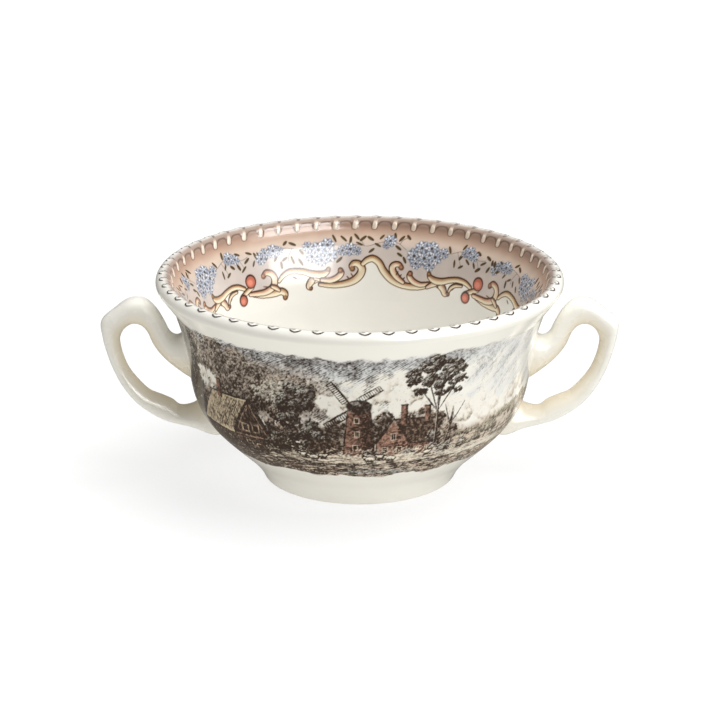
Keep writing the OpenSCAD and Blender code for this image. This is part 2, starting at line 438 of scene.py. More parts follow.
def leafy(x, y, rx, ry, dark=1.0, light=0.06, size=0.7, wash=None, thick=2.6, lit_share=0.10, clump=2.4):
    """A crown or bush of rounded clumps, each of small tufts with a pale cap on their upper left.
    Clumps and tufts are laid from the top down, so each stands out against the shade above it."""
    clumps = max(int(rx * ry / clump**2 / 0.8), 1)
    cx, cy, _ = scattered(clumps)
    spread = 0.86 * (clumps > 1)
    cx, cy = x + spread * rx * cx, y + spread * ry * cy
    for c in np.argsort(-cy):
        wide = min(rx, clump * dice.uniform(0.75, 1.25)) if clumps > 1 else rx
        high = min(ry, wide * 0.8)
        ox, oy, turn = scattered(max(int(wide * high * thick / size**2), 4))
        for k in np.argsort(-oy):
            r = size * (0.5 + 0.75 * dice.random())
            at, dx, dy = view.near(cx[c] + wide * ox[k], cy[c] + high * oy[k], r + 0.3, r + 0.3)
            lobes = r * (1 + 0.2 * np.sin(5 * np.arctan2(dy, dx) + 9 * turn[k]))
            d = np.hypot(dx, dy * 1.15)
            facing = (sun_y * dy + sun_x * dx) / r
            sunny = np.clip(lit_share + 0.5 + 0.62 * (sun_y * oy[k] + sun_x * ox[k]), 0, 1)
            cap = np.clip(1.25 - abs(d - 0.72 * lobes) / (0.26 * r + 0.06), 0, 1)
            cap = cap * np.clip(facing + 0.25, 0, 1)
            lit = np.clip(sunny**2 * (cap * 1.1 + 0.34 * np.clip(facing + 0.3, 0, 1)) + lit_share * 0.5, 0, 1)
            shade = dark + (light - dark) * lit * dice.uniform(0.6, 1.0)
            view.lay(at, soft_edge(lobes - d, 0.24), shade, wash)


def grove(places, *style):
    """Crowns or bushes of one kind, each with its place and its half sizes."""
    for place in places:
        leafy(*place, *style)


def tone(x, y, rx, ry, ink, wash=None, soft=4.0, cover=1.0):
    """An even patch of tone with a soft edge, laid before the strokes over it."""
    view.blot(x, y, rx, ry, ink, wash, cover, soft)


def strokes(count, left, right, low, high, angle, length, inks, width=0.34, wander=8.0, wash=None,
        cover=0.85):
    """Graver strokes scattered over a patch, all slanting about the same way."""
    for _ in range(count):
        x, y = dice.uniform(left, right), dice.uniform(low, high)
        turn = angle + wander * dice.uniform(-1, 1)
        long, wide = length * dice.uniform(0.6, 1.3), width * dice.uniform(0.7, 1.3)
        view.dash(x, y, turn, long, wide, dice.uniform(*inks), wash, cover)


def sheaf(x, y, angle, length, ink, count):
    """A bundle of fine parallel strokes, as skies are engraved."""
    c, s = step(angle)
    for k in range(count):
        aside, ahead = (k - count / 2) * 0.60, dice.uniform(-0.3, 0.3) * length
        long, wide = length * dice.uniform(0.7, 1.2), dice.uniform(0.22, 0.34)
        dark = ink * dice.uniform(0.75, 1.15)
        view.dash(x - aside * s + ahead * c, y + aside * c + ahead * s, angle, long, wide, dark, cover=0.8,
            soft=0.22)


def billow(x, y, rx, ry, shade=0.92):
    """A heap of cloud: rounded puffs laid from the top down, each stippled along its lower right."""
    px, py, turn = scattered(max(int(rx * ry / 1.7), 6))
    px, py = x + rx * px, y + ry * py
    for k in np.argsort(-py):
        r = 1.0 + 1.7 * dice.random()
        at, dx, dy = view.near(px[k], py[k], r + 0.8, r + 0.8)
        d = np.hypot(dx, dy) / (r * (1 + 0.10 * np.sin(5 * np.arctan2(dy, dx) + 9 * turn[k])))
        facing = (sun_y * dy + sun_x * dx) / r
        low = np.clip(0.75 * d - 0.55 * facing - 0.35 + 0.3 * (y - py[k]) / ry, 0, 1)
        hollow = shade * low**1.2 * (0.2 + 0.8 * dice.random(d.shape))
        colour = np.array([1.0, 0.985, 0.965]) - (0.20, 0.27, 0.34) * low[..., None]
        view.lay(at, soft_edge((1 - d) * r, 0.6), hollow, colour)


def trunk(x, y, tall, lean, width, boughs, spread=26):
    """A bole with forked boughs, paler on its left."""
    angle = 90 - lean
    c, s = step(angle)
    view.dash(x + c * tall / 2, y + s * tall / 2, angle, tall * 1.1, width, 0.95)
    view.dash(x + c * tall / 2 - width * 0.22, y + s * tall / 2, angle, tall * 0.9, width * 0.35, 0.35)
    for k in range(boughs):
        turn = angle + (k - (boughs - 1) / 2) * spread + 8 * dice.random()
        reach = tall * (0.45 + 0.2 * dice.random())
        fork = (x + c * tall * (0.6 + 0.15 * dice.random()), y + s * tall * 0.7)
        view.dash(*(fork + step(turn) * reach / 2), turn, reach, width * 0.5, 0.9)


def box(x, y, w, h, ink, wash=None):
    """A level face, from its middle and its half sizes."""
    face([(x - w, y - h), (x + w, y - h), (x + w, y + h), (x - w, y + h)], ink, wash)


def window(x, y, w, h, frame, ink, wash):
    box(x, y, w + frame, h + frame, ink, wash)
    box(x, y, w, h, 1.0)


def bricks(count, left, right, low, high, share=0.0):
    """Short level strokes over a brick wall, heavier towards its right. A share draws it in upwards."""
    for _ in range(count):
        u, v = dice.random(), dice.random()
        x, y = left + (right - left) * u + share * (0.5 - u) * (high - low) * v, low + (high - low) * v
        line(x - 0.5, y, x + 0.5, y, 0.27, min(1, 0.35 + 0.5 * u + 0.35 * dice.random()))


def chimney(x, low, high, w, ink, courses):
    """A brick stack, shaded on its right, with a cap."""
    box(x, (low + high) / 2, w, (high - low) / 2, ink, rose)
    bricks(courses, x - w, x + w, low, high)
    line(x + w * 0.7, low, x + w * 0.7, high, 0.7)
    line(x - w * 1.2, high, x + w * 1.2, high, 0.5)


# sky: slanting sheaves of strokes over a thin uneven blue, closer and darker on the left
for _ in range(60):
    x, y = dice.uniform(-70, 74), dice.uniform(24, 45)
    view.blot(x, y, dice.uniform(3, 7), dice.uniform(1, 2.2), None, sky_blue, 0.5, 1.6, 32)
tone(-30, 42, 44, 4.4, 0.30, sky_blue, 3.0, 0.9)
tone(20, 44, 30, 2.4, 0.18, sky_blue, 3.0, 0.9)
for _ in range(330):
    x, y = dice.uniform(*whole), 46.5 - 20 * dice.random() ** 1.5
    weight = (0.84 if x < -8 else 0.56) - 0.009 * max(x - 15, 0)
    if math.sin(x * 0.33 + y * 0.16) + math.sin(x * 0.13 - y * 0.5 + 2) < -0.5 and x > -20:
        weight *= 0.6
    angle, length = 34 + 0.04 * (x + 74) + dice.uniform(-2, 2), dice.uniform(3.0, 6.5)
    sheaf(x, y, angle, length, weight, int(dice.uniform(3, 8)))
for _ in range(44):
    x, y = dice.uniform(-72, 2), 46.6 - dice.uniform(0, 3.2)
    sheaf(x, y, 36 + dice.uniform(-3, 3), dice.uniform(3.6, 6.0), 0.86, int(dice.uniform(2, 5)))
# hills and hanging woods behind the farm
for x, y, rx, ry, ink in ((-60, 30, 18, 15, 0.62), (-40, 32, 18, 11, 0.58), (-22, 32, 14, 9, 0.50),
        (-66, 14, 12, 12, 0.75)):
    tone(x, y, rx, ry, ink, earth, 6.0, 0.8)
grove([(-30, 40, 11, 3.6), (-44, 41, 9, 4), (-17, 37, 8, 3.5), (-36, 35, 10, 4.5), (-22, 33, 8, 4),
    (-52, 37, 8, 5), (-28, 29, 9, 4), (-44, 30, 9, 5)], 0.90, 0.26, 0.62, (0.80, 0.70, 0.62), 2.4, 0.16, 3.2)
strokes(900, -58, -8, 25, 43, 50, 1.2, (0.55, 0.95), 0.28, 30)
tone(-55, 29.4, 6, 3.0, 0.08, (1.0, 0.99, 0.96), 4.0, 0.9)
billow(-55, 29.4, 6.5, 3.0, 0.7)
strokes(60, -62, -48, 26, 33, 40, 0.9, (0.3, 0.7), 0.24, 60, cover=0.6)
grove([(-70, 37, 6, 8), (-62, 41, 6, 4), (-69, 26, 6, 7), (-61, 32, 5, 5), (-70, 15, 6, 8), (-61, 22, 5, 6),
    (-61, 13, 5, 5)], 1.0, 0.14, 0.6, slate, 2.6, 0.05)
for x in (-70, -64.5, -58.5):
    trunk(x, 6, 12, dice.uniform(-8, 8), 1.0, 2)
strokes(700, -74, -20, 4, 44, 55, 1.5, (0.75, 1.0), 0.30, 30)
strokes(260, -66, -20, 22, 44, 50, 1.1, (0.05, 0.3), 0.24, 40, cover=0.6)
# clouds over the middle and the right
for x, y, rx, ry in ((-6, 29, 6, 3.4), (1, 33.5, 8, 4.6), (11, 35.5, 8, 4.4), (17, 31, 8, 4.2),
        (-1, 27, 7, 3.4), (12, 26, 9, 4), (25, 27, 8, 3), (36, 24.5, 11, 3.4), (47, 23, 9, 2.8),
        (57, 27, 7, 1.8)):
    billow(x, y, rx, ry)
strokes(900, -16, 40, 21, 40, 38, 0.8, (0.25, 0.65), 0.24, 60, cover=0.55)
strokes(110, 40, 72, 20, 30, 30, 0.8, (0.2, 0.5), 0.22, 60, cover=0.5)
for x, y, rx, ry in ((6, 20, 5, 5), (-7, 20, 5, 4), (18, 21, 8, 5), (27, 18, 5, 4)):
    tone(x, y, rx, ry, 0.60, earth, 4.0, 0.9)
for _ in range(190):
    x = dice.uniform(-18, 74)
    y = 47.2 - dice.uniform(0, 7.0 + 3.5 * math.sin(x * 0.16 + 0.6))
    angle, length = 35 + 0.05 * (x + 18) + dice.uniform(-2, 2), dice.uniform(2.6, 5.5)
    sheaf(x, y, angle, length, 0.72 - 0.012 * max(x - 15, 0), int(dice.uniform(3, 7)))
for _ in range(60):
    x, y = dice.uniform(36, 72), dice.uniform(25, 42)
    angle, length = 46 + dice.uniform(-3, 3), dice.uniform(7, 12)
    sheaf(x, y, angle, length, dice.uniform(0.3, 0.62), int(dice.uniform(2, 6)))
# fields running back under the sky
tone(14, 14.0, 30, 5.0, 0.28, earth, 2.0, 0.8)
tone(52, 14.5, 26, 6.0, 0.36, earth, 2.0, 0.8)
strokes(300, -14, 74, 10, 18, 5, 3.2, (0.35, 0.8), 0.3, 9)
for x in np.arange(-4, 74, 2.6):
    leafy(x, 17.6 + 1.6 * math.sin(x * 0.13) + 0.03 * x, 1.9, 1.1, 0.85, 0.2, 0.55, moss, 3.0, 0.3)
grove([(-26, 22, 5, 4), (-20, 18, 6, 5), (-12, 19, 5, 3.4), (-7, 22, 4, 2.4), (6.4, 21, 2.6, 4.4),
    (7, 25.5, 2.4, 2.6), (16, 26, 4.4, 2.6), (21, 22.5, 4.6, 3.6), (27, 18, 4.5, 4)], 0.9, 0.22, 0.54, earth,
    2.6, 0.10, 2.2)
# the cottage under the wood: thatch, timbered gable, brick chimneys
face([(-57, 9), (-43, 8), (-43, 15), (-57, 16)], 0.80, (0.74, 0.58, 0.46))
face([(-43, 8), (-28, 9), (-28, 15.5), (-35.2, 26.5), (-43, 15)], 0.62, (0.68, 0.50, 0.40))
face([(-60, 14.8), (-42.6, 13.8), (-35, 27.0), (-51, 26.2)], 0.10, hay)
for _ in range(1300):
    u, v = dice.random(), dice.random()
    top = min(v + 0.15, 1)
    eave, dark = -59.4 + 17 * u, dice.uniform(0.05, 0.85) * (0.5 + 0.7 * u)
    line(eave + 8 * v, 14.8 + 11.4 * v, eave + 8 * top, 14.8 + 11.4 * top, 0.24, dark)
strokes(260, -42, -29, 9, 15.5, 88, 1.4, (0.55, 1.0), 0.3, 14)
strokes(120, -39, -32, 15.5, 22, 86, 1.3, (0.55, 1.0), 0.3, 14)
for ends_and_width in ((-60.2, 14.4, -42.4, 13.4, 0.9), (-51.2, 26.6, -35, 27.2, 0.6),
        (-35.2, 27.4, -43.6, 13.2, 1.3), (-35.2, 27.4, -26.4, 14.0, 1.4), (-43, 15.2, -28, 15.8, 0.7),
        (-39.6, 20.0, -31.4, 20.4, 0.6), (-39.6, 8.4, -39.6, 19.8, 0.6), (-35.4, 8.2, -35.4, 26, 0.6),
        (-31.6, 9.0, -31.6, 20.4, 0.6), (-43, 8, -43, 15, 0.8), (-28, 9.0, -28, 15.4, 0.8),
        (-42.6, 11.8, -28.4, 12.4, 0.5)):
    line(*ends_and_width)
for ends in ((-41.2, 16.2, -35.9, 25.2), (-29.4, 16.2, -34.8, 25.2), (-42.6, 14.4, -28.6, 15.0),
        (-38.9, 16.2, -38.9, 19.4), (-32.2, 16.4, -32.2, 19.6)):
    line(*ends, 0.26, 0.18)
for x, y, w, h in ((-54, 12.2, 0.9, 1.2), (-48.5, 12.0, 0.9, 1.2), (-37.4, 17.6, 1.0, 1.1),
        (-33.4, 17.8, 1.0, 1.1), (-37.4, 10.6, 1.0, 2.0), (-33.2, 11.0, 1.2, 1.0), (-30, 11.2, 0.8, 1.0)):
    window(x, y, w, h, 0.25, 0.15, (0.86, 0.72, 0.58))
chimney(-47.5, 25.2, 31.0, 1.1, 0.42, 0)
strokes(260, -56, -43, 8.2, 14.0, 90, 1.2, (0.6, 1.0), 0.28, 12)
strokes(120, -56, -30, 8.2, 13.6, 88, 0.9, (0.1, 0.3), 0.24, 16, (0.86, 0.74, 0.62), 0.7)
# the oak before the cottage, and bushes round it
tone(-24, 11.5, 8, 4.5, 0.78, earth, 2.5, 0.95)
tone(-27.5, 18.1, 1.5, 2.3, 0.85, moss, 0.9, 0.95)
trunk(-16.5, 6, 15, -2, 1.7, 3)
grove([(-26, 35, 4.2, 2.6), (-29.5, 31.5, 3.2, 2.4), (-24.5, 29.5, 3.4, 2.6)], 0.8, 0.06, 0.6,
    (0.86, 0.82, 0.74), 2.4, 0.42, 2.4)
grove([(-20, 35, 3.6, 2.6), (-16, 32, 3.6, 2.6), (-21, 30, 4.0, 2.8), (-16.5, 27.4, 4.8, 2.8),
    (-21.5, 25, 4.4, 2.8), (-13.5, 23.0, 4.6, 2.8), (-19, 20.5, 5.6, 3.2), (-12.0, 19, 4.2, 2.8),
    (-22, 16.6, 4.6, 2.6), (-15, 15.6, 4.8, 2.6)], 1.0, 0.10, 0.56, slate, 2.8, 0.04)
grove([(-28, 14.0, 2.4, 2.2), (-27, 10.5, 3.4, 2.6), (-23.5, 14.5, 4, 3.4), (-25.5, 12.5, 5, 3),
    (-18, 11.5, 4, 2), (-11, 13, 4, 3), (-58, 9, 5, 4), (-51, 8.2, 5, 1.8), (-43.5, 7.6, 5, 1.7),
    (-36.5, 7.8, 4, 1.7), (-30, 8.8, 3.6, 2.2)], 1.0, 0.14, 0.5, moss, 2.6, 0.06)
# a brick tower mill with the miller's house beside it, and low sheds
face([(14.4, 9.5), (23, 9.5), (23.4, 16.6), (14.4, 17)], 0.72, rose)
face([(5, 9.5), (14.6, 9.5), (14.6, 17.4), (10, 24.4), (5, 17.4)], 0.42, rose)
bricks(170, 14.6, 23, 9.6, 16.8)
bricks(260, 5.4, 14.4, 9.8, 17.4)
bricks(60, 7.8, 12.2, 17.4, 21.8)
face([(15, 16.6), (25, 16.2), (21.6, 24.2), (10.2, 24.8)], 0.78, (0.66, 0.48, 0.38))
strokes(260, 13.4, 23.6, 17.0, 24.0, 112, 1.3, (0.6, 1.0), 0.28, 6)
for ends_and_width in ((4.2, 16.3, 10, 25.2, 0.9), (10, 25.2, 15.6, 16.2, 0.9), (9.8, 25.0, 21.8, 24.4, 0.5),
        (15.2, 16.4, 25.2, 16.0, 0.7), (14.6, 9.5, 14.6, 16.8, 0.5), (5, 9.5, 5, 17, 0.4)):
    line(*ends_and_width)
chimney(13.0, 23.0, 29.4, 1.0, 0.5, 12)
chimney(20.2, 23.4, 28.4, 0.9, 0.5, 12)
for x, y, w, h in ((7.6, 14.2, 0.7, 1.1), (12.0, 14.2, 0.7, 1.1), (10, 19.0, 0.6, 1.0),
        (17.4, 13.8, 0.7, 0.9), (21.0, 13.8, 0.7, 0.9)):
    window(x, y, w, h, 0.2, 0.1, (0.86, 0.72, 0.60))
    line(x, y - h, x, y + h, 0.2, 0.45)
face([(-5.4, 10), (4.6, 10), (2.8, 29), (-3.4, 29)], 0.46, rose)
bricks(620, -5.0, 4.4, 10.2, 28.6, 0.2)
tone(2.6, 19, 1.3, 9, 0.8, None, 1.6, 0.6)
line(-5.3, 10, -3.4, 29, 0.4)
line(4.5, 10, 2.8, 29, 0.9)
view.blot(-0.2, 29.4, 3.7, 2.2, 0.95, slate)
view.blot(-1.2, 30.3, 1.8, 0.8, 0.5, slate)
for x, y in ((-1.4, 15.5), (-0.8, 20.2), (-0.9, 24.8)):
    box(x, y, 0.8, 1.0, 0.15, (0.84, 0.72, 0.60))
    box(x, y, 0.55, 0.8, 1.0)
hub, sail_long, sail_wide = np.array([-2.0, 29.0]), 10.4, 1.9
for turn in (34, 124, 214, 304):
    out, over = step(turn), sail_wide * step(turn + 90)
    line(*hub, *(hub + sail_long * out), 0.66)
    line(*(hub + 2.4 * out + over), *(hub + 10.2 * out + over), 0.36)
    for k in np.arange(2.6, sail_long, 0.7):
        line(*(hub + k * out), *(hub + k * out + over), 0.3)
face([(-15.5, 10.5), (-5.0, 10.5), (-5.0, 14), (-15.5, 13.4)], 0.9, earth)
face([(-17, 13), (-4.6, 13.4), (-6.4, 18.0), (-14.6, 17.6)], 0.66, (0.70, 0.54, 0.42))
strokes(190, -16, -6, 13.6, 17.6, 72, 1.3, (0.6, 1.0), 0.28, 6)
line(-17.2, 12.8, -4.4, 13.2, 0.7)
line(-14.6, 17.8, -6.2, 18.2, 0.4)
grove([(4.4, 11.4, 3.0, 2.6), (9.6, 10.2, 3.0, 1.5), (15.6, 11.2, 3.4, 2.6), (20.6, 10.2, 3.0, 1.5),
    (25.8, 13.0, 4.0, 4.4), (-11.5, 10.2, 4, 1.7), (-4.6, 10.4, 2.8, 2.0), (22.5, 18.0, 2.4, 2.0),
    (31, 12.4, 4, 3)], 1.0, 0.12, 0.5, slate, 2.8, 0.08, 1.8)
# tall trees on the right, open to the sky between their boughs
trunk(23, 12, 20, 1, 1.0, 4, 22)
trunk(26, 12, 13, 12, 0.7, 3)
grove([(23, 44.4, 4.2, 2.2), (26.6, 42.4, 3.4, 2.2), (19.8, 42.2, 3.6, 2.4), (23.4, 41.0, 4.4, 2.4),
    (17.0, 39.4, 3.0, 2.0), (28.4, 39.4, 3.0, 2.0), (21.2, 38.4, 4.2, 2.2), (25.6, 37.6, 4.0, 2.0),
    (17.4, 36.2, 3.0, 1.6), (15.0, 37.2, 2.0, 1.4), (30.0, 36.0, 2.4, 1.4), (21.2, 35.0, 3.2, 1.6),
    (27.0, 34.2, 2.8, 1.5), (17.2, 33.4, 2.2, 1.2), (24.2, 32.2, 2.0, 1.0), (29.6, 32.4, 1.6, 0.9)], 1.0,
    0.14, 0.5, slate, 3.0, 0.02, 1.5)
# hedges, a rail fence and rising ground on the far right
grove([(34, 12.6, 5, 2.6), (41, 15.6, 4, 3.2), (47, 16.6, 3.6, 3), (55, 18.0, 4.5, 3.4), (64, 19.0, 5, 3.8),
    (71, 21.0, 4, 5), (60, 14.0, 6, 2.4), (51, 12.4, 5, 2)], 0.96, 0.16, 0.54, moss, 2.6, 0.14, 2.0)
for x in np.arange(40, 73, 3.4):
    line(x, 9.6 + 0.10 * (x - 40), x + 0.3, 14.6 + 0.10 * (x - 40), 0.6)
for lift in (13.2, 11.5):
    line(38, lift - 0.4, 73, lift + 3.0, 0.42)
# the lane with its sheep, then rough ground, close and dark
for x, rx, ink in ((-58, 20, 0.86), (-30, 22, 0.80), (0, 24, 0.66), (30, 22, 0.56), (58, 20, 0.36)):
    tone(x, 4.6, rx, 5.8, ink, earth, 3.0, 0.9)
tone(-2, 10.2, 24, 2.0, 0.30, (0.90, 0.80, 0.68), 1.4, 0.95)
tone(44, 9.2, 18, 1.7, 0.20, (0.96, 0.90, 0.82), 1.8, 0.9)
strokes(380, *whole, 6.6, 11.4, 3, 3.2, (0.45, 1.0), 0.32, 7, cover=0.8)
strokes(200, -30, 66, 7.4, 12.0, 2, 3.4, (0.02, 0.2), 0.34, 5, (0.97, 0.90, 0.80), 0.8)
strokes(320, -22, 34, 11.0, 15.0, 20, 1.1, (0.02, 0.25), 0.30, 60, (0.93, 0.85, 0.74), 0.7)
for x, y, size, turn in ((-17.8, 11.4, 0.9, 1), (-14.6, 10.6, 1.1, 1), (-11.6, 11.5, 0.85, -1),
        (3.2, 10.4, 1.15, 1), (6.5, 11.5, 0.9, 1), (9.6, 10.6, 1.1, 1), (21.4, 11.9, 0.8, -1)):
    for k in (-0.8, -0.35, 0.5, 0.9):
        line(x + k * size, y - 1.5 * size, x + k * size, y, 0.30)
    view.blot(x, y + 0.2, 1.3 * size + 0.35, 0.9 * size + 0.35, 0.95, earth)
    view.blot(x - 1.5 * turn * size, y + 0.9 * size, 0.5 * size + 0.3, 0.42 * size + 0.3, 0.95, earth)
    for k, up, r in ((-0.6, 0.3, 0.66), (0.1, 0.38, 0.8), (0.75, 0.3, 0.66), (-1.45, 0.85, 0.42)):
        view.blot(x + k * size * turn, y + up * size, r * size, 0.85 * r * size, 0.16, (1.0, 0.95, 0.86))
    left, right, low, high = x - 1.2 * size, x + 1.2 * size, y - 0.6 * size, y + 0.25 * size
    strokes(16, left, right, low, high, 10, 0.55, (0.4, 0.85), 0.24, 50)
    line(left, y - 1.5 * size, x + 1.9 * size, y - 1.6 * size, 0.5, 0.9)
strokes(1700, *whole, 0.2, 8.4, 3, 2.6, (0.7, 1.0), 0.40, 12)
strokes(900, *whole, 0.4, 7.2, 4, 2.2, (0.05, 0.35), 0.30, 12, (0.92, 0.82, 0.70), 0.75)
for _ in range(110):
    shade = (moss, rose, earth, water, hay)[int(dice.random() * 5)]
    x, y = dice.uniform(*whole), dice.uniform(0.8, 5.8)
    leafy(x, y, dice.uniform(1.0, 2.4), dice.uniform(0.5, 1.0), 1.0, 0.22, 0.46, shade, 2.6, 0.16)
strokes(110, -8, 20, 1.8, 4.4, 0, 3.0, (0.15, 0.6), 0.34, 4, water, 0.8)
strokes(620, *whole, 0.2, 7.6, 84, 1.3, (0.8, 1.0), 0.30, 40)
strokes(420, *whole, 0.2, 7.0, 2, 3.0, (0.85, 1.0), 0.36, 8)
strokes(420, *whole, 0.4, 7.0, 4, 2.2, (0.05, 0.3), 0.26, 8, (0.94, 0.84, 0.72), 0.8)
strokes(90, *whole, 0.6, 6.4, 2, 1.8, (0.1, 0.3), 0.34, 8, (0.80, 0.52, 0.44), 0.8)

# the sheet's ragged edges, the print's fine speckle and its wear, a painted highlight that pales the print
# towards the right, and the same print on the back
half_round, half_turn = 180 * view.per_degree, columns // 2
x = (np.arange(columns) * view.pitch + half_round) % (2 * half_round) - half_round
y = view.heights[:, None]
sheet_half, sheet_top, sheet_foot = 71.5, 47.6, -0.4
ragged = 1.6 * (view.patches(2.2, 21) - 0.5)
ends = falling(abs(x), sheet_half + 3 * ragged, 1.6)
lower = rising(y + 0.8 * np.sin(x * 0.30) + 0.4 * np.sin(x * 0.11 + 1) + ragged, sheet_foot, 0.7)
upper = falling(y, sheet_top + 1.5 * ragged - 0.6 * np.cos(x * 0.09), 1.6)
kept = ends * lower * upper
speckle = view.patches(0.42, 22) - 0.5 + 0.5 * (view.patches(0.9, 23) - 0.5)
depth = 1 + np.interp(x, [-60, -24, 10, 60], [1.05, 0.62, 0.20, 0.0]) * falling(y, 36, 10)
view.ink = 1 - (1 - np.clip(view.ink, 0, 1)) ** depth
view.ink = np.clip(view.ink + speckle * np.clip(view.ink * 2.2, 0, 0.5), 0, 1) * kept
# painted highlight: the ink is painted paler towards the right, standing in for the light from the right
# washing over the glaze there
view.ink *= np.interp(x, [26, 60], [1.0, 0.66])
view.wash = 1 + (view.wash ** (0.75 + 0.25 * depth)[..., None] - 1) * kept[..., None]
view.ink = np.maximum(view.ink, np.roll(view.ink, half_turn, 1))
view.wash = np.minimum(view.wash, np.roll(view.wash, half_turn, 1))
view.ink *= 0.93 + 0.07 * view.patches(9, 24)
view.wash *= glaze_ivory


def worked(tree, operation, *values, **given):
    """The result of a sum over plain numbers and other nodes' outputs."""
    places = {f"in{k}": value for k, value in enumerate(values)}
    return wire(tree, "ShaderNodeMath", operation=operation, **places, **given)


def noise(tree, place, scale, detail, **given):
    return wire(tree, "ShaderNodeTexNoise", Vector=place, Scale=scale, Detail=detail, **given).outputs["Fac"]


def mapped(tree, value, low, high, to_low=0.0, to_high=1.0, **given):
    """A value's place between two numbers, carried over to two others."""
    ends = dict(From_Min=low, From_Max=high, To_Min=to_low, To_Max=to_high)
    return wire(tree, "ShaderNodeMapRange", Value=value, **ends, **given)


def blended(tree, share, first, second, **given):
    return wire(tree, "ShaderNodeMix", data_type="RGBA", in0=share, in6=first, in7=second, **given).outputs[2]


def painted(tree, key, output):
    """What was painted on the mesh under a name."""
    return wire(tree, "ShaderNodeAttribute", attribute_name=key).outputs[output]


def printed_glaze(name, grain, coarse):
    """Print and thin colours under a clear ivory glaze: the print's edges break up into fine dots."""
    material, tree, place = new_material(name)
    dots = noise(tree, place, coarse, 2.0, Roughness=0.6)
    roughened = worked(tree, "MULTIPLY_ADD", dots, grain, -grain / 2)
    spread = worked(tree, "ADD", painted(tree, "ink", "Fac"), roughened)
    cover = mapped(tree, spread, 0.04, 0.97, interpolation_type="SMOOTHSTEP")
    clouds = mapped(tree, noise(tree, place, 55.0, 3.0), 0.3, 0.7, 0.97)
    body = blended(tree, 1.0, painted(tree, "wash", "Color"), clouds, blend_type="MULTIPLY")
    finish_glaze(tree, place, blended(tree, cover, body, solid(print_brown)))
    return material


def finish_glaze(tree, place, colour, bare=None, smoothest=0.10):
    """A glossy dipped glaze: even shine, with the faint ripple of a glaze that ran as it melted.
    Where it is bare the clay shows, dull."""
    rough = mapped(tree, noise(tree, place, 190.0, 2.0), 0.25, 0.75, smoothest, smoothest + 0.09)
    if bare is not None:
        rough = wire(tree, "ShaderNodeMix", data_type="FLOAT", in0=bare, in2=rough, in3=0.75)
    ripple = noise(tree, place, 85.0, 2.0)
    bump = wire(tree, "ShaderNodeBump", Height=ripple, Strength=0.25, Distance=0.0004)
    coat = dict(Coat_Weight=0.3, Coat_IOR=1.5, Coat_Roughness=rough, Coat_Normal=bump)
    glaze = dict(Base_Color=colour, Roughness=rough, IOR=1.5, Normal=bump)
    gloss = wire(tree, "ShaderNodeBsdfPrincipled", **glaze, **coat)
    wire(tree, "ShaderNodeOutputMaterial", Surface=gloss)


print_on_wall = printed_glaze("country_print_under_glaze", grain=0.34, coarse=3600.0)
quarter = columns // 4
wall_names = ("wall_front_right", "wall_back_right", "wall_back_left", "wall_front_left")
for number, name in enumerate(wall_names):
    pick = np.arange(number * quarter, (number + 1) * quarter + 1)
    points, normals = turned(wall_run, pick * turn_share)
    taken = pick % columns
    wall = skin(name, points, normals, {"wash": view.wash[:, taken]}, {"ink": view.ink[:, taken]})
    wall.data.materials.append(print_on_wall)
    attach(wall, "root")
    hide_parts("bowl_body")

# ---------------------------------------------------------------- lip and printed border
# The lip is rolled over and pressed with a row of long beads. The border inside it is printed and
# touched in with colour: a rose ground, blue garden flowers, and a scrolled ribbon along its edge.
border_run_length = 34.0
border_rows = 137
border = Print(per_degree=0.9425, heights=np.linspace(0, border_run_length, border_rows))
bead_count = 56
bead_turn = 360 / bead_count
bead_phase = -1.438


def tint(r, g, b):
    """A thin colour as it looks over the white body, from eight-bit values beside bare glaze."""
    v = np.array([(r, g, b), (240, 237, 224)]) / 255
    light = np.where(v < 0.04045, v / 12.92, ((v + 0.055) / 1.055) ** 2.4)
    return light[0] / light[1]


def smooth_line(points, steps=10):
    """A smooth line through rows of numbers."""
    rows = np.array(points, float)
    ends = np.concatenate([rows[:1], rows, rows[-1:]])
    a, b, c, d = (ends[k : len(ends) - 3 + k, None] for k in range(4))
    t = (np.arange(steps) / steps)[:, None]
    path = b + t * (c - a) / 2 + t * t * (a - 2.5 * b + 2 * c - d / 2) + t**3 * (1.5 * (b - c) + (d - a) / 2)
    return np.concatenate([path.reshape(-1, rows.shape[1]), rows[-1:]])


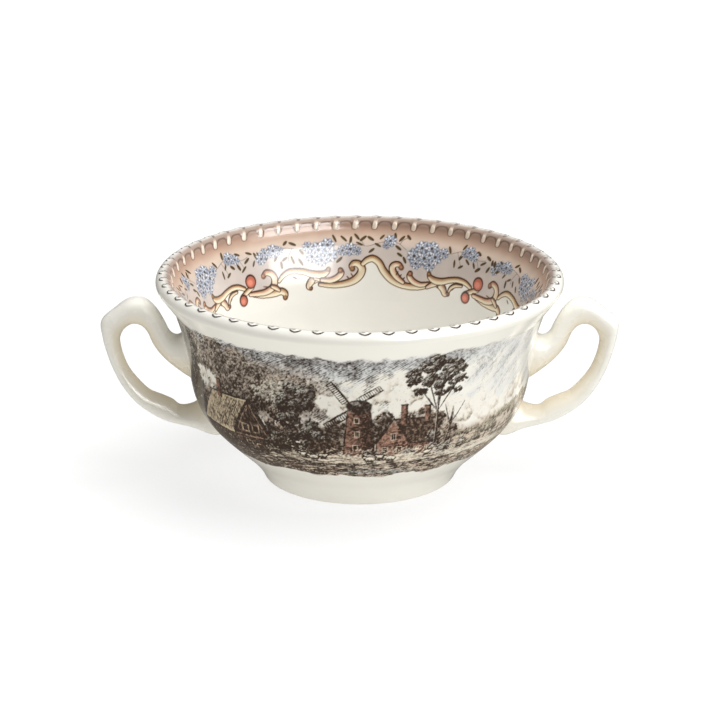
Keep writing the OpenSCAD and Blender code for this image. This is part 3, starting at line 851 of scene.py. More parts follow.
def ribbon(points, deep=tint(184, 134, 84), light=tint(240, 229, 196), edge=0.84, knob=0.0):
    """A painted scroll of changing width, pale below and shaded above, with a printed outline that
    is heavier above. Its last end curls into a dark tip where a knob is asked for."""
    path = smooth_line(points)
    low, high = path[:, :2].min(0), path[:, :2].max(0)
    middle, half = (high + low) / 2, (high - low) / 2 + 2.2
    at, dx, dy = border.near(unit_middle + middle[0], middle[1], *half)
    a, ab = path[:-1], np.diff(path, axis=0)
    for shift, extra in ((0.16, edge), (0.0, 0.0)):
        px, py = (dx + middle[0])[..., None] - a[:, 0], (dy + middle[1] + shift)[..., None] - a[:, 1]
        t = np.clip((px * ab[:, 0] + py * ab[:, 1]) / (ab[:, 0] ** 2 + ab[:, 1] ** 2 + 1e-9), 0, 1)
        px, py = px - t * ab[:, 0], py - t * ab[:, 1]
        d = np.hypot(px, py) - (a[:, 2] + t * ab[:, 2]) / 2
        k = d.argmin(-1)[..., None]
        d, px, py = (np.take_along_axis(v, k, -1)[..., 0] for v in (d, px, py))
        if extra:
            border.lay(at, soft_edge(extra / 2 - d, 0.2), 0.84, outline_wash)
            continue
        width = (a[:, 2] / 2)[k[..., 0]]
        aside, below = px / width, py / width
        tip = rising(k[..., 0] / len(a), 0.72, 0.28) * (knob > 0)
        shade = np.clip(0.42 - 0.75 * below + 0.25 * aside + 0.5 * tip, 0, 1)[..., None] ** 1.5
        crease = falling(abs(below + 0.45), 0.22, 0.22) * (width > 0.6)
        border.lay(at, soft_edge(-d, 0.2), 0.40 * crease + 0.22 * tip, light + (deep - light) * shade)
    if knob:
        x, y = unit_middle + path[-1, 0], path[-1, 1]
        border.blot(x, y + 0.08, knob + 0.16, knob + 0.10, 0.80, outline_wash, 0.9, 0.5)
        border.blot(x - 0.1, y - 0.10, knob * 0.72, knob * 0.66, 0.22, deep, 0.85, 0.5)


def blossom(x, y, r):
    """An aster in pale blues, its petals outlined, round a dark eye."""
    x, spin, petals = unit_middle + x, dice.uniform(0, 360), 8
    petal_blues = tint(238, 238, 237), tint(186, 196, 210), tint(214, 219, 226)
    border.blot(x, y, r * 0.95, r * 0.95, 0.5, tint(150, 153, 166), 0.9, 0.5)
    for ring, size in ((0.64, 0.42), (0.34, 0.28)):
        for k in range(petals):
            angle = spin + 360 * (k + (ring < 0.5) * 0.5) / petals
            px, py = (x, y) + ring * r * step(angle)
            border.blot(px, py, size * r + 0.13, 0.19 * r + 0.15, 0.64, tint(112, 114, 124), 0.9, 0.25, angle)
            border.blot(px, py, size * r, 0.17 * r, 0, petal_blues[k % 3], 0.95, 0.25, angle)
    border.blot(x, y, 0.2 * r, 0.2 * r, 0.72, tint(110, 112, 110), 0.9)


def lance_leaf(x, y, angle, length, width):
    """A dark pointed leaf with a paler vein."""
    x += unit_middle
    border.dash(x, y, angle, length, width, 0.80, tint(150, 122, 76), soft=0.3)
    border.dash(x - 0.1, y + 0.1, angle, length * 0.6, 0.16, 0.45, cover=0.7, soft=0.18)


def stem(points):
    path = smooth_line(points, 4) + (unit_middle, 0)
    for a, b in zip(path, path[1:]):
        border.line(*a, *b, 0.3, 0.75, 1.3, 0.85)


# the ground above the ribbon
edge_line = np.array([(-46.2, 26.5), (-42, 27.6), (-38.5, 26.8), (-36, 25.0), (-33, 25.0), (-31, 24.0),
    (-28.6, 23.1), (-24.4, 23.6), (-21, 24.6), (-17, 25.6), (-14.5, 27.0), (-12, 27.5), (-9, 28.0),
    (-6.5, 27.6), (-4.6, 26.0), (-3.2, 22.4), (-1.9, 20.9), (0, 20.4), (2, 21.8), (3.6, 24.2), (6, 26.6),
    (9, 28.0), (12.5, 28.4), (16, 27.8), (19, 27.4), (21, 26.2), (24, 25.7), (28, 24.8), (31, 24.2),
    (34, 24.5), (37, 25.8)])
peak_turn, scroll_repeats = 4.8, 4
scroll_turn = 360 / scroll_repeats
outline_wash = tint(170, 120, 80)
x = np.arange(columns) * turn_share - peak_turn
ground_end = np.interp(x * border.per_degree, edge_line[:, 0], edge_line[:, 1],
    period=scroll_turn * border.per_degree)
y = border.heights[:, None]
stops = np.array([5.2, 6.4, 7.6, 9.4, 11.4, 13.6, 17.0, 30.0])
shades = np.array([tint(*eight_bit) for eight_bit in (
    (192, 180, 168), (178, 161, 147), (165, 141, 124), (172, 140, 119),
    (191, 162, 140), (210, 189, 168), (206, 193, 181), (205, 194, 184),
)])
ground = np.stack([np.interp(y[:, 0], stops, shades[:, k]) for k in range(3)], -1)[:, None, :]
cover = rising(y, 5.0, 1.5) * soft_edge(ground_end - y, 0.4)
uneven = 0.95 + 0.10 * border.patches(3.0, 31)
border.lay(..., cover, wash=ground * uneven[..., None])

# flowers, leaves and scrolls, unit by unit round the border
rosy, brown_rose = tint(206, 142, 110), tint(168, 104, 78)
for number in range(scroll_repeats):
    unit_middle = (peak_turn + number * scroll_turn) * border.per_degree
    for points in (
        [(-9.5, 17.0), (-6.0, 15.8), (-2.0, 16.2), (2.0, 15.0), (5.4, 14.2), (8.6, 15.2), (11, 17.0)],
        [(22, 17.5), (27, 16.2), (30, 15.0), (34, 14.8), (38, 16.4), (41, 15.8)],
        [(-20, 17.0), (-25.5, 16.0), (-30, 15.2), (-34, 15.8), (-39, 16.4)],
        [(29, 15.4), (30.2, 17.6), (31.0, 19.4)],
        [(37, 16.2), (38.2, 18.2), (38.6, 19.6)],
        [(-27, 15.6), (-28.6, 18.0), (-28.8, 19.8)],
        [(8.6, 15.2), (9.4, 13.8), (10.8, 12.8)],
        [(-3.0, 16.1), (-4.0, 14.4), (-5.2, 13.2)],
    ):
        stem(points)
    for px, py, angle in ((-9.6, 13.6, 48), (-7.4, 14.2, 100), (-5.4, 13.0, 55), (-3.4, 13.6, -42),
            (-4.6, 15.4, 25), (-1.0, 13.6, 35), (-0.6, 17.6, -38), (1.4, 15.8, 28), (2.6, 13.0, -50),
            (8.2, 16.4, 35), (9.0, 13.2, -52), (11.2, 12.6, 50), (8.8, 18.6, 30), (10.6, 20.2, 62),
            (6.8, 12.4, 80), (26.0, 15.0, 62), (28.6, 19.2, 85), (31.2, 19.8, -32), (30.6, 16.8, -60),
            (31.0, 13.2, -68), (37.2, 14.2, 28), (38.4, 19.4, -36), (40.2, 17.0, -32), (41.8, 14.8, 24),
            (42.8, 18.4, -60), (36.4, 18.4, 62), (44.0, 16.0, 74), (33.6, 17.8, 40), (-24.0, 17.2, 50),
            (-26.6, 14.2, 28), (-27.4, 19.4, 72), (-30.2, 18.8, -28), (-29.0, 13.6, -40), (-33.4, 18.2, -52),
            (-36.6, 15.0, 30), (-37.4, 18.0, -30), (-39.6, 16.0, 74), (-12.6, 13.4, 70), (-24.6, 20.4, 60),
            (-11.4, 20.6, -40), (-31.6, 20.6, 88)):
        lance_leaf(px, py, angle, dice.uniform(2.1, 3.0), dice.uniform(0.72, 1.05))
    for px, py, r in ((5.4, 14.2, 2.0), (4.2, 15.8, 1.2), (13.8, 18.6, 2.5), (16.2, 15.8, 2.4),
            (19.6, 15.6, 2.4), (17.4, 19.0, 2.6), (21.2, 18.2, 2.5), (14.6, 21.0, 1.9), (19.4, 21.0, 2.0),
            (24.0, 16.6, 1.8), (33.4, 14.6, 2.1), (35.6, 15.6, 1.7), (31.8, 15.4, 1.2), (-7.6, 17.2, 2.1),
            (-10.2, 17.6, 1.7), (-5.4, 17.8, 1.4), (-15.0, 15.6, 2.3), (-18.2, 17.0, 2.6), (-14.4, 18.8, 2.4),
            (-20.6, 19.0, 2.1), (-17.4, 20.4, 2.1), (-21.6, 15.8, 1.8), (-33.8, 15.6, 2.2),
            (-31.6, 15.8, 1.4), (-35.8, 16.4, 1.4), (46.0, 17.4, 2.0), (47.8, 15.8, 1.6)):
        blossom(px, py, r)
    ribbon([(-44.5, 28.2, 1.0), (-40.5, 29.0, 1.6), (-36, 29.2, 1.8), (-33.2, 29.0, 1.8), (-31.6, 29.9, 1.6),
        (-31.7, 31.1, 1.2)], knob=0.7)
    ribbon([(-46.0, 27.8, 0.9), (-42.4, 28.2, 1.3), (-38.8, 28.2, 1.6), (-36.0, 27.0, 1.9),
        (-35.0, 24.9, 2.0), (-35.8, 23.0, 1.7), (-37.8, 22.2, 1.4), (-39.2, 23.0, 1.0)], rosy, knob=0.8)
    ribbon([(-36.4, 26.9, 0.8), (-34.9, 27.6, 1.2), (-33.8, 28.5, 0.7)], brown_rose)
    ribbon([(-17.0, 26.0, 1.0), (-19.2, 26.4, 1.7), (-21.4, 27.0, 1.9), (-22.6, 28.6, 1.4),
        (-21.9, 29.3, 0.8)], brown_rose, knob=0.5)
    ribbon([(-20.0, 26.0, 1.2), (-17.2, 26.9, 1.6), (-15.0, 28.4, 0.8)], rosy)
    ribbon([(-33.4, 25.6, 0.8), (-31.4, 24.0, 1.1), (-28.6, 23.1, 1.3), (-24.6, 23.6, 1.4),
        (-21.2, 24.7, 1.7), (-18.0, 25.2, 1.8), (-16.0, 24.6, 1.3), (-15.2, 23.6, 0.8)], knob=0.6)
    ribbon([(-18.5, 28.3, 0.8), (-14.5, 28.8, 1.3), (-10.5, 28.6, 1.6), (-7.0, 27.7, 1.9), (-4.7, 26.0, 2.1),
        (-3.8, 24.0, 2.1), (-4.6, 22.4, 1.9), (-6.3, 21.9, 1.5), (-7.4, 22.8, 1.1), (-7.0, 23.6, 0.9)],
        knob=0.8)
    ribbon([(-17.8, 26.9, 0.8), (-14.8, 27.2, 1.3), (-12.3, 26.4, 1.5), (-10.9, 25.1, 1.5),
        (-11.1, 24.1, 1.1)], rosy, knob=0.7)
    ribbon([(-3.4, 22.0, 1.1), (-1.9, 20.8, 1.5), (0, 20.4, 1.7), (2.0, 21.7, 1.8), (3.6, 24.2, 1.9),
        (6.0, 26.6, 1.9), (9.0, 28.1, 1.7), (12.5, 28.7, 1.6), (16.2, 28.6, 1.4), (19.4, 27.9, 1.0)])
    ribbon([(10.6, 27.5, 0.9), (8.6, 26.2, 1.5), (7.1, 24.5, 1.8), (6.6, 23.0, 1.7), (7.4, 22.0, 1.4),
        (8.8, 21.9, 1.2), (9.7, 22.7, 0.9)], rosy, knob=0.8)
    ribbon([(20.0, 27.1, 0.8), (17.0, 27.7, 1.2), (14.4, 27.0, 1.5), (12.9, 25.6, 1.5), (13.0, 24.5, 1.1)],
        rosy, knob=0.7)
    ribbon([(22.4, 26.6, 1.2), (24.4, 27.0, 1.9), (25.8, 28.0, 1.9), (26.6, 29.4, 1.3), (28.0, 29.3, 0.7)],
        brown_rose, knob=0.5)
    ribbon([(24.0, 26.2, 1.2), (21.6, 27.1, 1.3), (19.6, 28.2, 0.7)], rosy)
    ribbon([(28.2, 28.3, 0.5), (28.9, 27.1, 0.8), (30.6, 26.1, 0.8), (33.0, 25.8, 0.5)])
    ribbon([(36.8, 25.6, 0.9), (34.2, 24.5, 1.2), (31.2, 24.2, 1.3), (28.0, 24.8, 1.4), (25.0, 25.7, 1.7),
        (22.4, 25.8, 1.8), (20.4, 25.0, 1.3), (19.8, 23.9, 0.8)], knob=0.6)
    ribbon([(35.0, 28.0, 1.1), (37.6, 26.8, 1.3), (40.4, 25.6, 1.2)], edge=0.7)
    for px, py, angle, length in ((8.4, 24.6, -60, 1.6), (9.6, 25.4, -55, 1.5), (10.8, 26.2, -50, 1.3),
            (-7.2, 25.6, 55, 1.6), (-8.6, 26.4, 50, 1.5), (29.6, 27.4, -40, 1.5), (-27.4, 25.2, 30, 2.0),
            (-38.6, 26.6, 12, 3.0), (23.6, 27.4, 60, 1.2), (-20.4, 27.4, -60, 1.2)):
        border.dash(unit_middle + px, py, angle, length, 0.45, 0.8, outline_wash)
    for px, py, r in ((40.0, 23.7, 1.85), (35.4, 29.0, 1.5)):
        px += unit_middle
        border.blot(px, py, r + 0.5, r + 0.5, 0.82, tint(140, 84, 64))
        border.blot(px, py + 0.12, r, r, 0.16, tint(198, 110, 86))
        border.blot(px - 0.15 * r, py + 0.2 * r, 0.62 * r, 0.55 * r, 0, tint(230, 146, 120), 0.85, 0.6)

# beads across the lip, the arched panels between them, and the small hatched corners over them
half_gap = np.radians(bead_turn) * on_outline(lip_from + border.heights)[0][:, None] / 2
off = (x + peak_turn - bead_phase) / bead_turn
off = 2 * half_gap * (off - np.round(off))
mark_middle, mark_r, mark_half = 5.6, 1.8, 0.27
round_mark = np.hypot(off, 1.1 * np.minimum(y - mark_middle, 0))
u_line = soft_edge(mark_half - abs(round_mark - mark_r), 0.2) * falling(y, 5.25, 0.4)
fleck = soft_edge(0.42 - np.hypot(0.62 * (off - 0.45), y - 5.1), 0.25)
panel_from, panel_foot, panel_tall, panel_line, pearl_end = 7.2, 11.2, 3.5, 0.17, 9.5
leaned = off + 0.16 * (y - 8.6) - 0.12 * np.clip(8.2 - y, 0, 2) ** 2
pearl_half = np.interp(y, [6.4, 7.4, 8.6, 9.6], [0.42, 0.58, 0.74, 0.80])
pearl = np.hypot(leaned, np.maximum(y - pearl_end, 0)) - pearl_half
across, up = abs(abs(leaned) - half_gap) / (half_gap - 0.85), np.clip(panel_foot - y, 0, 9) / panel_tall
arch = (across**3 + up**3) ** (1 / 3)
arch_line = soft_edge(panel_line - abs(arch - 1.0) * 1.6, 0.18)
arch_line *= rising(y, 6.0, 0.5) * rising(y, panel_from, 0.4) * falling(y, 10.8, 0.8)
pearl_line = soft_edge(0.2 - abs(pearl - 0.16), 0.2)
pearl_line *= rising(y, panel_from, 1.2) * falling(y, panel_foot, 0.5)
corner = soft_edge(0.75 - abs(off - 1.1 - 0.6 * (6.2 - y)) - 0.4 * abs(y - 5.9), 0.3)
border.lay(..., corner * rising(y, 5.2, 0.3) * falling(y, 6.8, 0.3), 0.55)
border.lay(..., soft_edge(-pearl, 0.25) * rising(y, 7.1, 1.1), 0.0, tint(244, 226, 202))
for mark, strength in ((u_line, 1.0), (fleck, 0.58), (arch_line, 0.52), (pearl_line, 0.54)):
    border.ink = np.maximum(border.ink, mark * strength)
# painted light: the glaze inside the bowl is given a lighter, less yellow ivory than the outside, standing in
# for more light in the well; the border's lower rows blend into it
inside_ivory_painted_lighter = np.array([0.892, 0.880, 0.828])
border.wash *= glaze_ivory + (inside_ivory_painted_lighter - glaze_ivory) * rising(y, 22, 11)[..., None]
bead_from, bead_to, bead_height = 3.6, 10.4, 0.16
bead_half = np.interp(y, [bead_from, 6, 10], [1.7, 1.35, 1.0])
bead_long = rising(np.minimum(y - bead_from, bead_to - y), 0, 0.9)
bead_rise = bead_height * bead_long * np.clip(1 - (off / bead_half) ** 2, 0, 1) ** 0.75

border_print = printed_glaze("border_print_under_glaze", grain=0.16, coarse=5200.0)
border_names = ("border_back_right", "border_front_right", "border_front_left", "border_back_left")
for number, name in enumerate(border_names):
    pick = np.arange((number + 1) * quarter, number * quarter - 1, -1)
    taken = pick % columns
    points, normals = turned(lip_from + border.heights, 180 - pick * turn_share, bead_rise[:, taken])
    piece = skin(name, points, None, {"wash": border.wash[:, taken]}, {"ink": border.ink[:, taken]})
    piece.data.materials.append(border_print)
    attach(piece, "root")
    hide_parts("bowl_body")

# ---------------------------------------------------------------- the well and the plain underside
# Inside the border the bowl is plain ivory glaze down to its flat floor, painted a lighter, less yellow
# ivory than outside as painted light. Under the print the wall rounds in, plain, to the foot, and the bowl
# closes the top of the foot's recess.


def cloudy_ivory(tree, place, ivory):
    """Ivory with faint deeper clouds."""
    clouds = mapped(tree, noise(tree, place, 42.0, 4.0), 0.3, 0.7)
    return blended(tree, clouds, solid(ivory * 0.975), solid(ivory))


def ivory_glaze(name, ivory):
    material, tree, place = new_material(name)
    finish_glaze(tree, place, cloudy_ivory(tree, place, ivory))
    return material


plain_glaze = ivory_glaze("ivory_glaze", glaze_ivory)
# the same ivory glaze as outside, painted lighter inside as painted light
inside_glaze_painted_lighter = ivory_glaze("ivory_glaze_inside", inside_ivory_painted_lighter)
well_from = lip_from + border_run_length
floor_from = well_from + 26
well_run = joined(np.linspace(well_from, floor_from, 40), np.linspace(floor_from, outline_end, 16))
well_points, well_normals = turned(well_run, np.arange(columns) * turn_share)
well = skin("well", well_points, well_normals, round_way=True, to_a_point=True)
well.data.materials.append(inside_glaze_painted_lighter)

# ---------------------------------------------------------------- the foot and the underside, turned
# The plain lower wall, the foot ring and the ceiling of the recess inside it are each one outline
# swept round the bowl's axis. The foot stands on a narrow edge that was wiped before firing.
weld = 0.000002


def node_tree(name, base, sockets):
    """A Geometry Nodes tree, with its named inputs and what they give."""
    tree = bpy.data.node_groups.new(name, "GeometryNodeTree")
    tree.interface.new_socket(base, in_out="INPUT", socket_type="NodeSocketGeometry")
    for label, kind, value in sockets:
        socket = tree.interface.new_socket(label, in_out="INPUT", socket_type="NodeSocket" + kind)
        if value is not None:
            socket.default_value = value
    tree.interface.new_socket("Geometry", in_out="OUTPUT", socket_type="NodeSocketGeometry")
    return tree, wire(tree, "NodeGroupInput").outputs


def give_out(tree, geometry, material):
    """The end of a tree: a smooth real mesh in its material."""
    smooth = wire(tree, "GeometryNodeSetShadeSmooth", Geometry=geometry)
    real = wire(tree, "GeometryNodeRealizeInstances", Geometry=smooth)
    coloured = wire(tree, "GeometryNodeSetMaterial", Geometry=real, Material=material)
    wire(tree, "NodeGroupOutput", in0=coloured)


turning, given = node_tree("turn_an_outline", "Outline", (
    ("Steps Round", "Int", 392), ("Rows", "Int", 40), ("Material", "Material", None),
))
turned_line = wire(turning, "GeometryNodeMeshToCurve", Mesh=given["Outline"])
round_count = worked(turning, "ADD", given["Steps Round"], 1.0)
counts = dict(Vertices_X=round_count, Vertices_Y=given["Rows"])
sheet = wire(turning, "GeometryNodeMeshGrid", Size_X=1.0, Size_Y=1.0, **counts)
across = wire(turning, "ShaderNodeSeparateXYZ", Vector=wire(turning, "GeometryNodeInputPosition")).outputs
share_up = worked(turning, "ADD", across["Y"], 0.5, use_clamp=True)
on_line = wire(turning, "GeometryNodeSampleCurve", mode="FACTOR", Curves=turned_line, Factor=share_up)
on_line = on_line.outputs["Position"]
angle = worked(turning, "MULTIPLY", across["X"], 2 * math.pi)
carried = wire(turning, "ShaderNodeVectorRotate", rotation_type="Z_AXIS", Vector=on_line, Angle=angle)
placed = wire(turning, "GeometryNodeSetPosition", Geometry=sheet.outputs["Mesh"], Position=carried)
closed = wire(turning, "GeometryNodeMergeByDistance", Geometry=placed, Distance=weld)
give_out(turning, closed, given["Material"])


def grown(name, mesh, tree, settings):
    """A plain mesh body from a Geometry Nodes tree, whose inputs are given by name."""
    seed = bpy.data.objects.new(name + "_seed", mesh)
    scene.collection.objects.link(seed)
    modifier = seed.modifiers.new("grow", "NODES")
    modifier.node_group = tree
    for item in tree.interface.items_tree:
        if item.name in settings and item.in_out == "INPUT":
            modifier[item.identifier] = settings[item.name]
    seed.update_tag()
    bpy.context.view_layer.update()
    body = bpy.data.meshes.new_from_object(seed.evaluated_get(bpy.context.evaluated_depsgraph_get()))
    body.name = name
    bpy.data.objects.remove(seed)
    made = bpy.data.objects.new(name, body)
    scene.collection.objects.link(made)
    return made


def profile(name, points):
    """An outline in mm, as a line of edges in the plane of X and Z."""
    mesh = bpy.data.meshes.new(name)
    edges = [(k, k + 1) for k in range(len(points) - 1)]
    mesh.from_pydata([(r * MM, 0, z * MM) for r, z in points], edges, [])
    return mesh


foot_r, foot_h, foot_round, recess_r, recess_top_r = 30.0, 6.2, 0.8, 26.4, 25.0
foot_dir = 66


def arc(centre, radius, start, end, count=16):
    a = np.radians(np.linspace(start, end, count + 1))
    return np.array(centre) + radius * np.stack([np.cos(a), np.sin(a)], 1)


outer_round = arc((foot_r - foot_round, foot_round), foot_round, -90, foot_dir - 90)
foot_outline = np.concatenate([
    np.linspace((recess_top_r, foot_h), (recess_r, foot_round), 40)[:-1],
    arc((recess_r + foot_round, foot_round), foot_round, 180, 270),
    np.linspace((recess_r + foot_round, 0), (foot_r - foot_round, 0), 12)[1:-1],
    outer_round,
    bend(outer_round[-1], foot_dir, seat_at, seat_dir, soft_share, count=60)[1:],
])

foot_glaze, tree, place = new_material("glaze_wiped_at_the_foot")
height = wire(tree, "ShaderNodeSeparateXYZ", Vector=place).outputs["Z"]
uneven = worked(tree, "MULTIPLY_ADD", noise(tree, place, 260.0, 3.0), -0.9 * MM, 0.45 * MM)
wiped = mapped(tree, worked(tree, "ADD", height, uneven), 0.42 * MM, 0.18 * MM)
bare_clay = blended(tree, noise(tree, place, 1500.0, 3.0), (0.70, 0.62, 0.49, 1), (0.80, 0.74, 0.62, 1))
finish_glaze(tree, place, blended(tree, wiped, cloudy_ivory(tree, place, glaze_ivory), bare_clay), wiped)

foot = grown("foot_ring_turned", profile("foot_outline", foot_outline), turning,
    {"Rows": 150, "Material": foot_glaze})
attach(foot, "root")
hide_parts("foot_ring")

under_r, under_z, _, _ = on_outline(np.linspace(0, wall_foot_run, 40))
under_outline = profile("under_outline", np.stack([under_r, under_z], 1))
under = grown("wall_under_print", under_outline, turning, {"Rows": 34, "Material": plain_glaze})
ceiling_rs = (0, recess_top_r * 0.5, recess_top_r + 0.4)
ceiling_outline = profile("ceiling_outline", [(r, foot_h) for r in ceiling_rs])
ceiling = grown("recess_ceiling", ceiling_outline, turning, {"Rows": 40, "Material": plain_glaze})
for piece in (well, under, ceiling):
    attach(piece, "root")
    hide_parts("bowl_body")

# ---------------------------------------------------------------- beads along the inside of the lip
# A row of pressed pearls stands up from the inner edge of the lip, one to each panel of the border.
# They are part of the bowl's own clay, so they are grown in place and sunk into the lip.
pearl_run = lip_from + np.array([7.7, 8.6, 9.5, 10.4])
pearl_lean = np.array([-0.18, 0.0, 0.14, 0.29])
pr, pz, pnr, pnz = on_outline(pearl_run)
pearl_sink = 0.02
pearl_at = np.stack([pr - pearl_sink * pnr, pearl_lean, pz - pearl_sink * pnz], 1) * MM
# the handles of a Bezier curve that runs through the four places
pull = np.array([[-5, 18, -9, 2], [2, -9, 18, -5]]) / 6 @ pearl_at
pearls, given = node_tree("row_of_pearls", "Base", (
    ("Count", "Int", bead_count),
    ("First Turn", "Float", math.radians(90 - bead_phase)),
    ("Start", "Vector", tuple(pearl_at[0])),
    ("Start Pull", "Vector", tuple(pull[0])),
    ("End Pull", "Vector", tuple(pull[1])),
    ("End", "Vector", tuple(pearl_at[3])),
    ("Out Of Lip", "Vector", (pnr.mean(), 0.0, pnz.mean())),
    ("Half Width", "Float", 0.80 * MM),
    ("Flatness", "Float", 0.42),
    ("Material", "Material", None),
))
ends = dict(Start=given["Start"], Start_Handle=given["Start Pull"], End_Handle=given["End Pull"],
    End=given["End"])
spine = wire(pearls, "GeometryNodeCurvePrimitiveBezierSegment", mode="POSITION", Resolution=18, **ends)
spine = wire(pearls, "GeometryNodeResampleCurve", mode="COUNT", Curve=spine, Count=19)
spine = wire(pearls, "GeometryNodeSetCurveNormal", mode="FREE", Curve=spine, Normal=given["Out Of Lip"])
share = wire(pearls, "GeometryNodeSplineParameter").outputs["Factor"]
from_middle = worked(pearls, "ABSOLUTE", worked(pearls, "MULTIPLY_ADD", share, 2.0, -1.0))
left_over = worked(pearls, "SUBTRACT", 1.0, worked(pearls, "POWER", from_middle, 3.0), use_clamp=True)
plump = worked(pearls, "SQRT", left_over)
ring = wire(pearls, "GeometryNodeCurvePrimitiveCircle", Resolution=16, Radius=given["Half Width"])
squash = wire(pearls, "ShaderNodeCombineXYZ", X=given["Flatness"], Y=1.0, Z=1.0)
oval = wire(pearls, "GeometryNodeTransform", Geometry=ring, Scale=squash)
pearl = wire(pearls, "GeometryNodeCurveToMesh", Curve=spine, Profile_Curve=oval, Scale=plump)
pearl = wire(pearls, "GeometryNodeMergeByDistance", Geometry=pearl, Distance=weld)
places = wire(pearls, "GeometryNodePoints", Count=given["Count"])
each = worked(pearls, "DIVIDE", wire(pearls, "GeometryNodeInputIndex"), given["Count"])
turn = worked(pearls, "MULTIPLY_ADD", each, 2 * math.pi, given["First Turn"])
facing = wire(pearls, "ShaderNodeCombineXYZ", Z=turn)
row = wire(pearls, "GeometryNodeInstanceOnPoints", Points=places, Instance=pearl, Rotation=facing)
give_out(pearls, wire(pearls, "GeometryNodeRealizeInstances", Geometry=row), given["Material"])

pearl_glaze = ivory_glaze("ivory_glaze_on_pearls", glaze_ivory * tint(236, 219, 197))
pearl_row = grown("lip_pearls", bpy.data.meshes.new("pearl_base"), pearls, {"Material": pearl_glaze})
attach(pearl_row, "root")
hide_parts("bowl_body")

# ---------------------------------------------------------------- handles
# Each handle is cast in a two-part mould as one scrolled bar, softly ridged along its sides, with
# a thumb spur and two broad roots. Inside the loop and at the roots the ivory is painted deeper and
# warmer: partly glaze that pooled there, partly painted shade where the bowl keeps the light off.
loop_rows = [
    (-0.22, 0.43, -0.18, 0.76, 0.78), (-0.04, 0.43, 0.03, 0.76, 0.76), (0.12, 0.49, 0.13, 0.735, 0.66),
    (0.29, 0.58, 0.21, 0.76, 0.56), (0.40, 0.67, 0.275, 0.84, 0.52), (0.465, 0.76, 0.36, 0.925, 0.54),
    (0.545, 0.808, 0.49, 0.995, 0.56), (0.645, 0.814, 0.665, 0.996, 0.55), (0.73, 0.78, 0.84, 0.925, 0.52),
    (0.773, 0.73, 0.985, 0.842, 0.50), (0.775, 0.68, 0.978, 0.735, 0.49), (0.745, 0.60, 0.935, 0.625, 0.48),
    (0.685, 0.51, 0.865, 0.50, 0.47), (0.59, 0.43, 0.75, 0.365, 0.47), (0.455, 0.348, 0.585, 0.245, 0.49),
    (0.31, 0.31, 0.38, 0.16, 0.52), (0.20, 0.279, 0.24, 0.122, 0.55), (0.11, 0.238, 0.11, 0.104, 0.58),
    (-0.01, 0.245, -0.07, 0.076, 0.64), (-0.115, 0.285, -0.30, 0.028, 0.76), (-0.26, 0.40, -0.50, 0.06, 0.80),
]
handle_reach, handle_low, handle_tall, handle_wide = 80.0, 11.0, 45.5, 7.4
rings_per_row, ring_corners = 10, 72
rails = smooth_line(loop_rows, rings_per_row)
rail_from, rail_scale = (belly_at[0], handle_low), (handle_reach - belly_at[0], handle_tall)
inner_rail, outer_rail = (rail_from + rails[:, k : k + 2] * rail_scale for k in (0, 2))
half_width = rails[:, 4] * handle_wide
ridge_at, inner_power, outer_power = 0.16, 1.55, 2.5
a = np.linspace(0, 2 * math.pi, ring_corners, endpoint=False)
c, sn = np.cos(a), np.sin(a)
power = np.where(c > 0, outer_power, inner_power)
over = ridge_at + np.where(c > 0, 1 - ridge_at, 1 + ridge_at) * np.sign(c) * abs(c) ** (2 / power)
side = np.sign(sn) * abs(sn) ** (2 / power)
middle, half = (inner_rail + outer_rail) / 2, (outer_rail - inner_rail) / 2
flat_place = middle[:, None] + half[:, None] * over[None, :, None]
rings = np.stack([flat_place[..., 0], half_width[:, None] * side[None, :], flat_place[..., 1]], -1)


def from_wall(points):
    """How far points in mm stand off the bowl's outside, and where on its outline they stand."""
    q = np.stack([np.hypot(points[..., 0], points[..., 1]), points[..., 2]], -1).reshape(-1, 2)
    fine = outside[::2]
    near = np.hypot(*(q[:, None] - fine[None]).transpose(2, 0, 1)).argmin(1)
    run = outline_run[near * 2]
    for _ in range(3):
        r, z, nr, nz = on_outline(run)
        run = np.clip(run + (q[:, 1] - z) * nr - (q[:, 0] - r) * nz, 0, lip_from)
    r, z, nr, nz = on_outline(run)
    stands_off = (q[:, 0] - r) * nr + (q[:, 1] - z) * nz
    return stands_off.reshape(points.shape[:-1]), run.reshape(points.shape[:-1])


def column_at(k, place):
    """A point along one corner line of the rings."""
    j = np.clip(np.floor(place).astype(int), 0, len(rings) - 2)
    t = (place - j)[..., None]
    return rings[j, k] * (1 - t) + rings[j + 1, k] * t


def crossing(off, level, from_end):
    """Where a corner line first comes out of the wall by a given distance, counted in rings."""
    run = off[::-1] if from_end else off
    j = int(np.argmax(run > level))
    place = j - (run[j] - level) / (run[j] - run[j - 1])
    return len(off) - 1 - place if from_end else place


def wall_point(place, lift):
    """A point off the bowl's outside, from its way round and its running place on the outline."""
    r, z, nr, nz = on_outline(place[:, 1])
    turn, rr = place[:, 0] / r, r + lift * nr
    return np.stack([rr * np.cos(turn), rr * np.sin(turn), z + lift * nz], 1)


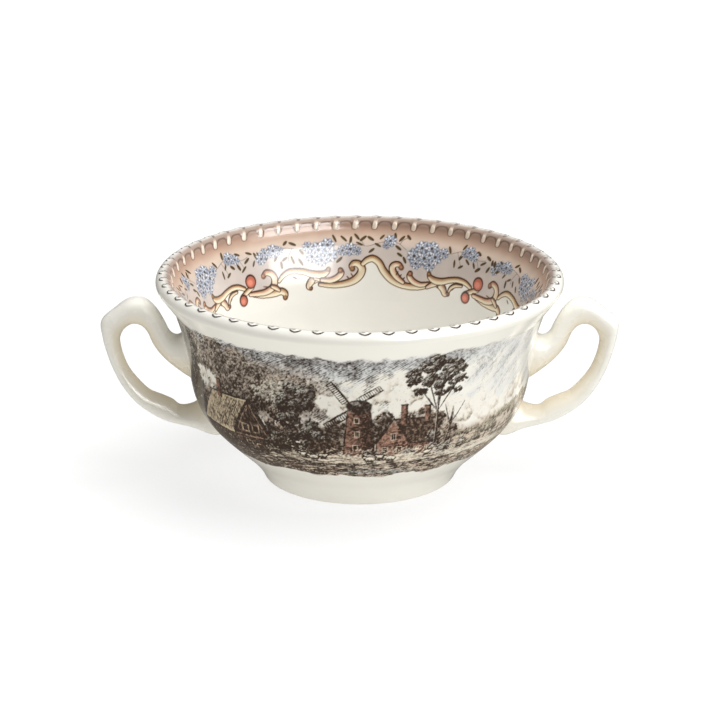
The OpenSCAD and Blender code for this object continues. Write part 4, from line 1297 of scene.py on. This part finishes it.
slip_height, slip_spread, slip_sink, fillet_rows, bar_rows = 1.25, 1.5, 0.05, 14, 230
fillet_pull = 0.42
off, _ = from_wall(rings)
grid = np.zeros((bar_rows + 2 * fillet_rows, ring_corners, 3))
bar = grid[fillet_rows:-fillet_rows]
for k in range(ring_corners):
    first, last = (crossing(off[:, k], slip_height, end) for end in (False, True))
    bar[:, k] = column_at(k, np.linspace(first, last, bar_rows))
for end in (False, True):
    touch = np.array([column_at(k, np.array(crossing(off[:, k], 0.0, end))) for k in range(ring_corners)])
    _, touch_run = from_wall(touch)
    on_wall = np.stack([np.arctan2(touch[:, 1], touch[:, 0]) * on_outline(touch_run)[0], touch_run], 1)
    away = unit(on_wall - (on_wall.max(0) + on_wall.min(0)) / 2)
    reach_to = on_wall + slip_spread * away
    end_point, short = wall_point(reach_to, -slip_sink), wall_point(reach_to - 0.3 * away, -slip_sink)
    edge, next_in = (bar[-1], bar[-2]) if end else (bar[0], bar[1])
    pull = fillet_pull * np.linalg.norm(end_point - edge, axis=1)[:, None]
    t = (np.arange(1, fillet_rows + 1) / fillet_rows)[:, None, None]
    curve = cubic([edge, edge + unit(edge - next_in) * pull, end_point - unit(end_point - short) * pull,
        end_point], t)
    if end:
        grid[-fillet_rows:] = curve
    else:
        grid[:fillet_rows] = curve[::-1]

wrapped = np.concatenate([grid[:, -1:], grid, grid[:, :1]], 1)
loop_normals = unit(np.cross(wrapped[:, 2:] - wrapped[:, :-2], np.gradient(grid, axis=0)))
centres = grid.mean(1)[:, None]
outwards = ((grid - centres) * loop_normals).sum(-1)[fillet_rows:-fillet_rows].mean() > 0
if not outwards:
    grid, loop_normals = grid[:, ::-1], -loop_normals[:, ::-1]
    over = over[::-1]

row = np.arange(len(grid))
# painted shade and pooled glaze: the side of the bar that faces the bowl and the rows near the roots are
# coloured a deeper, warmer ivory; part of it is glaze that pooled there, part is painted shade
inside_pool_and_shade = falling(over, 0.25, 1.1)[None, :]
root_pool_and_shade = falling(np.minimum(row, row[::-1]), fillet_rows + 18, fillet_rows + 14)[:, None]
pool = np.clip(0.95 * inside_pool_and_shade + 0.30 * root_pool_and_shade + 0.02, 0, 1)
pooled_and_shaded_ivory = np.array([0.74, 0.655, 0.49])
loop_pool_and_shade_colour = glaze_ivory + (pooled_and_shaded_ivory - glaze_ivory) * (0.80 * pool)[..., None]

# the handles' glaze takes its colour from the wash, which holds the pooled glaze and the painted shade
pooled_and_shaded_glaze, tree, place = new_material("ivory_glaze_pooled")
clouds = mapped(tree, noise(tree, place, 70.0, 4.0), 0.3, 0.7, 0.955)
deepened = blended(tree, 1.0, painted(tree, "wash", "Color"), clouds, blend_type="MULTIPLY")
finish_glaze(tree, place, deepened, smoothest=0.22)

slip_from = fillet_rows + bar_rows - 1
parts = {
    "handle_bar": (fillet_rows, slip_from + 1),
    "upper_slip": (0, fillet_rows + 1),
    "lower_slip": (slip_from, len(grid)),
}
for which, sign in (("right", 1), ("left", -1)):
    mirror = np.array([sign, 1, 1])
    for part, (low, high) in parts.items():
        points, normals = grid[low:high] * mirror, loop_normals[low:high] * mirror
        pool_and_shade_colours = loop_pool_and_shade_colour[low:high]
        if which == "left":
            points, normals, pool_and_shade_colours = (rows[:, ::-1] for rows in (points, normals, pool_and_shade_colours))
        piece = skin(which + "_" + part, points, normals, {"wash": pool_and_shade_colours}, round_way=True)
        piece.data.materials.append(pooled_and_shaded_glaze)
        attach(piece, "root")
        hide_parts(which + ("_handle" if part == "handle_bar" else "_handle_slip"))
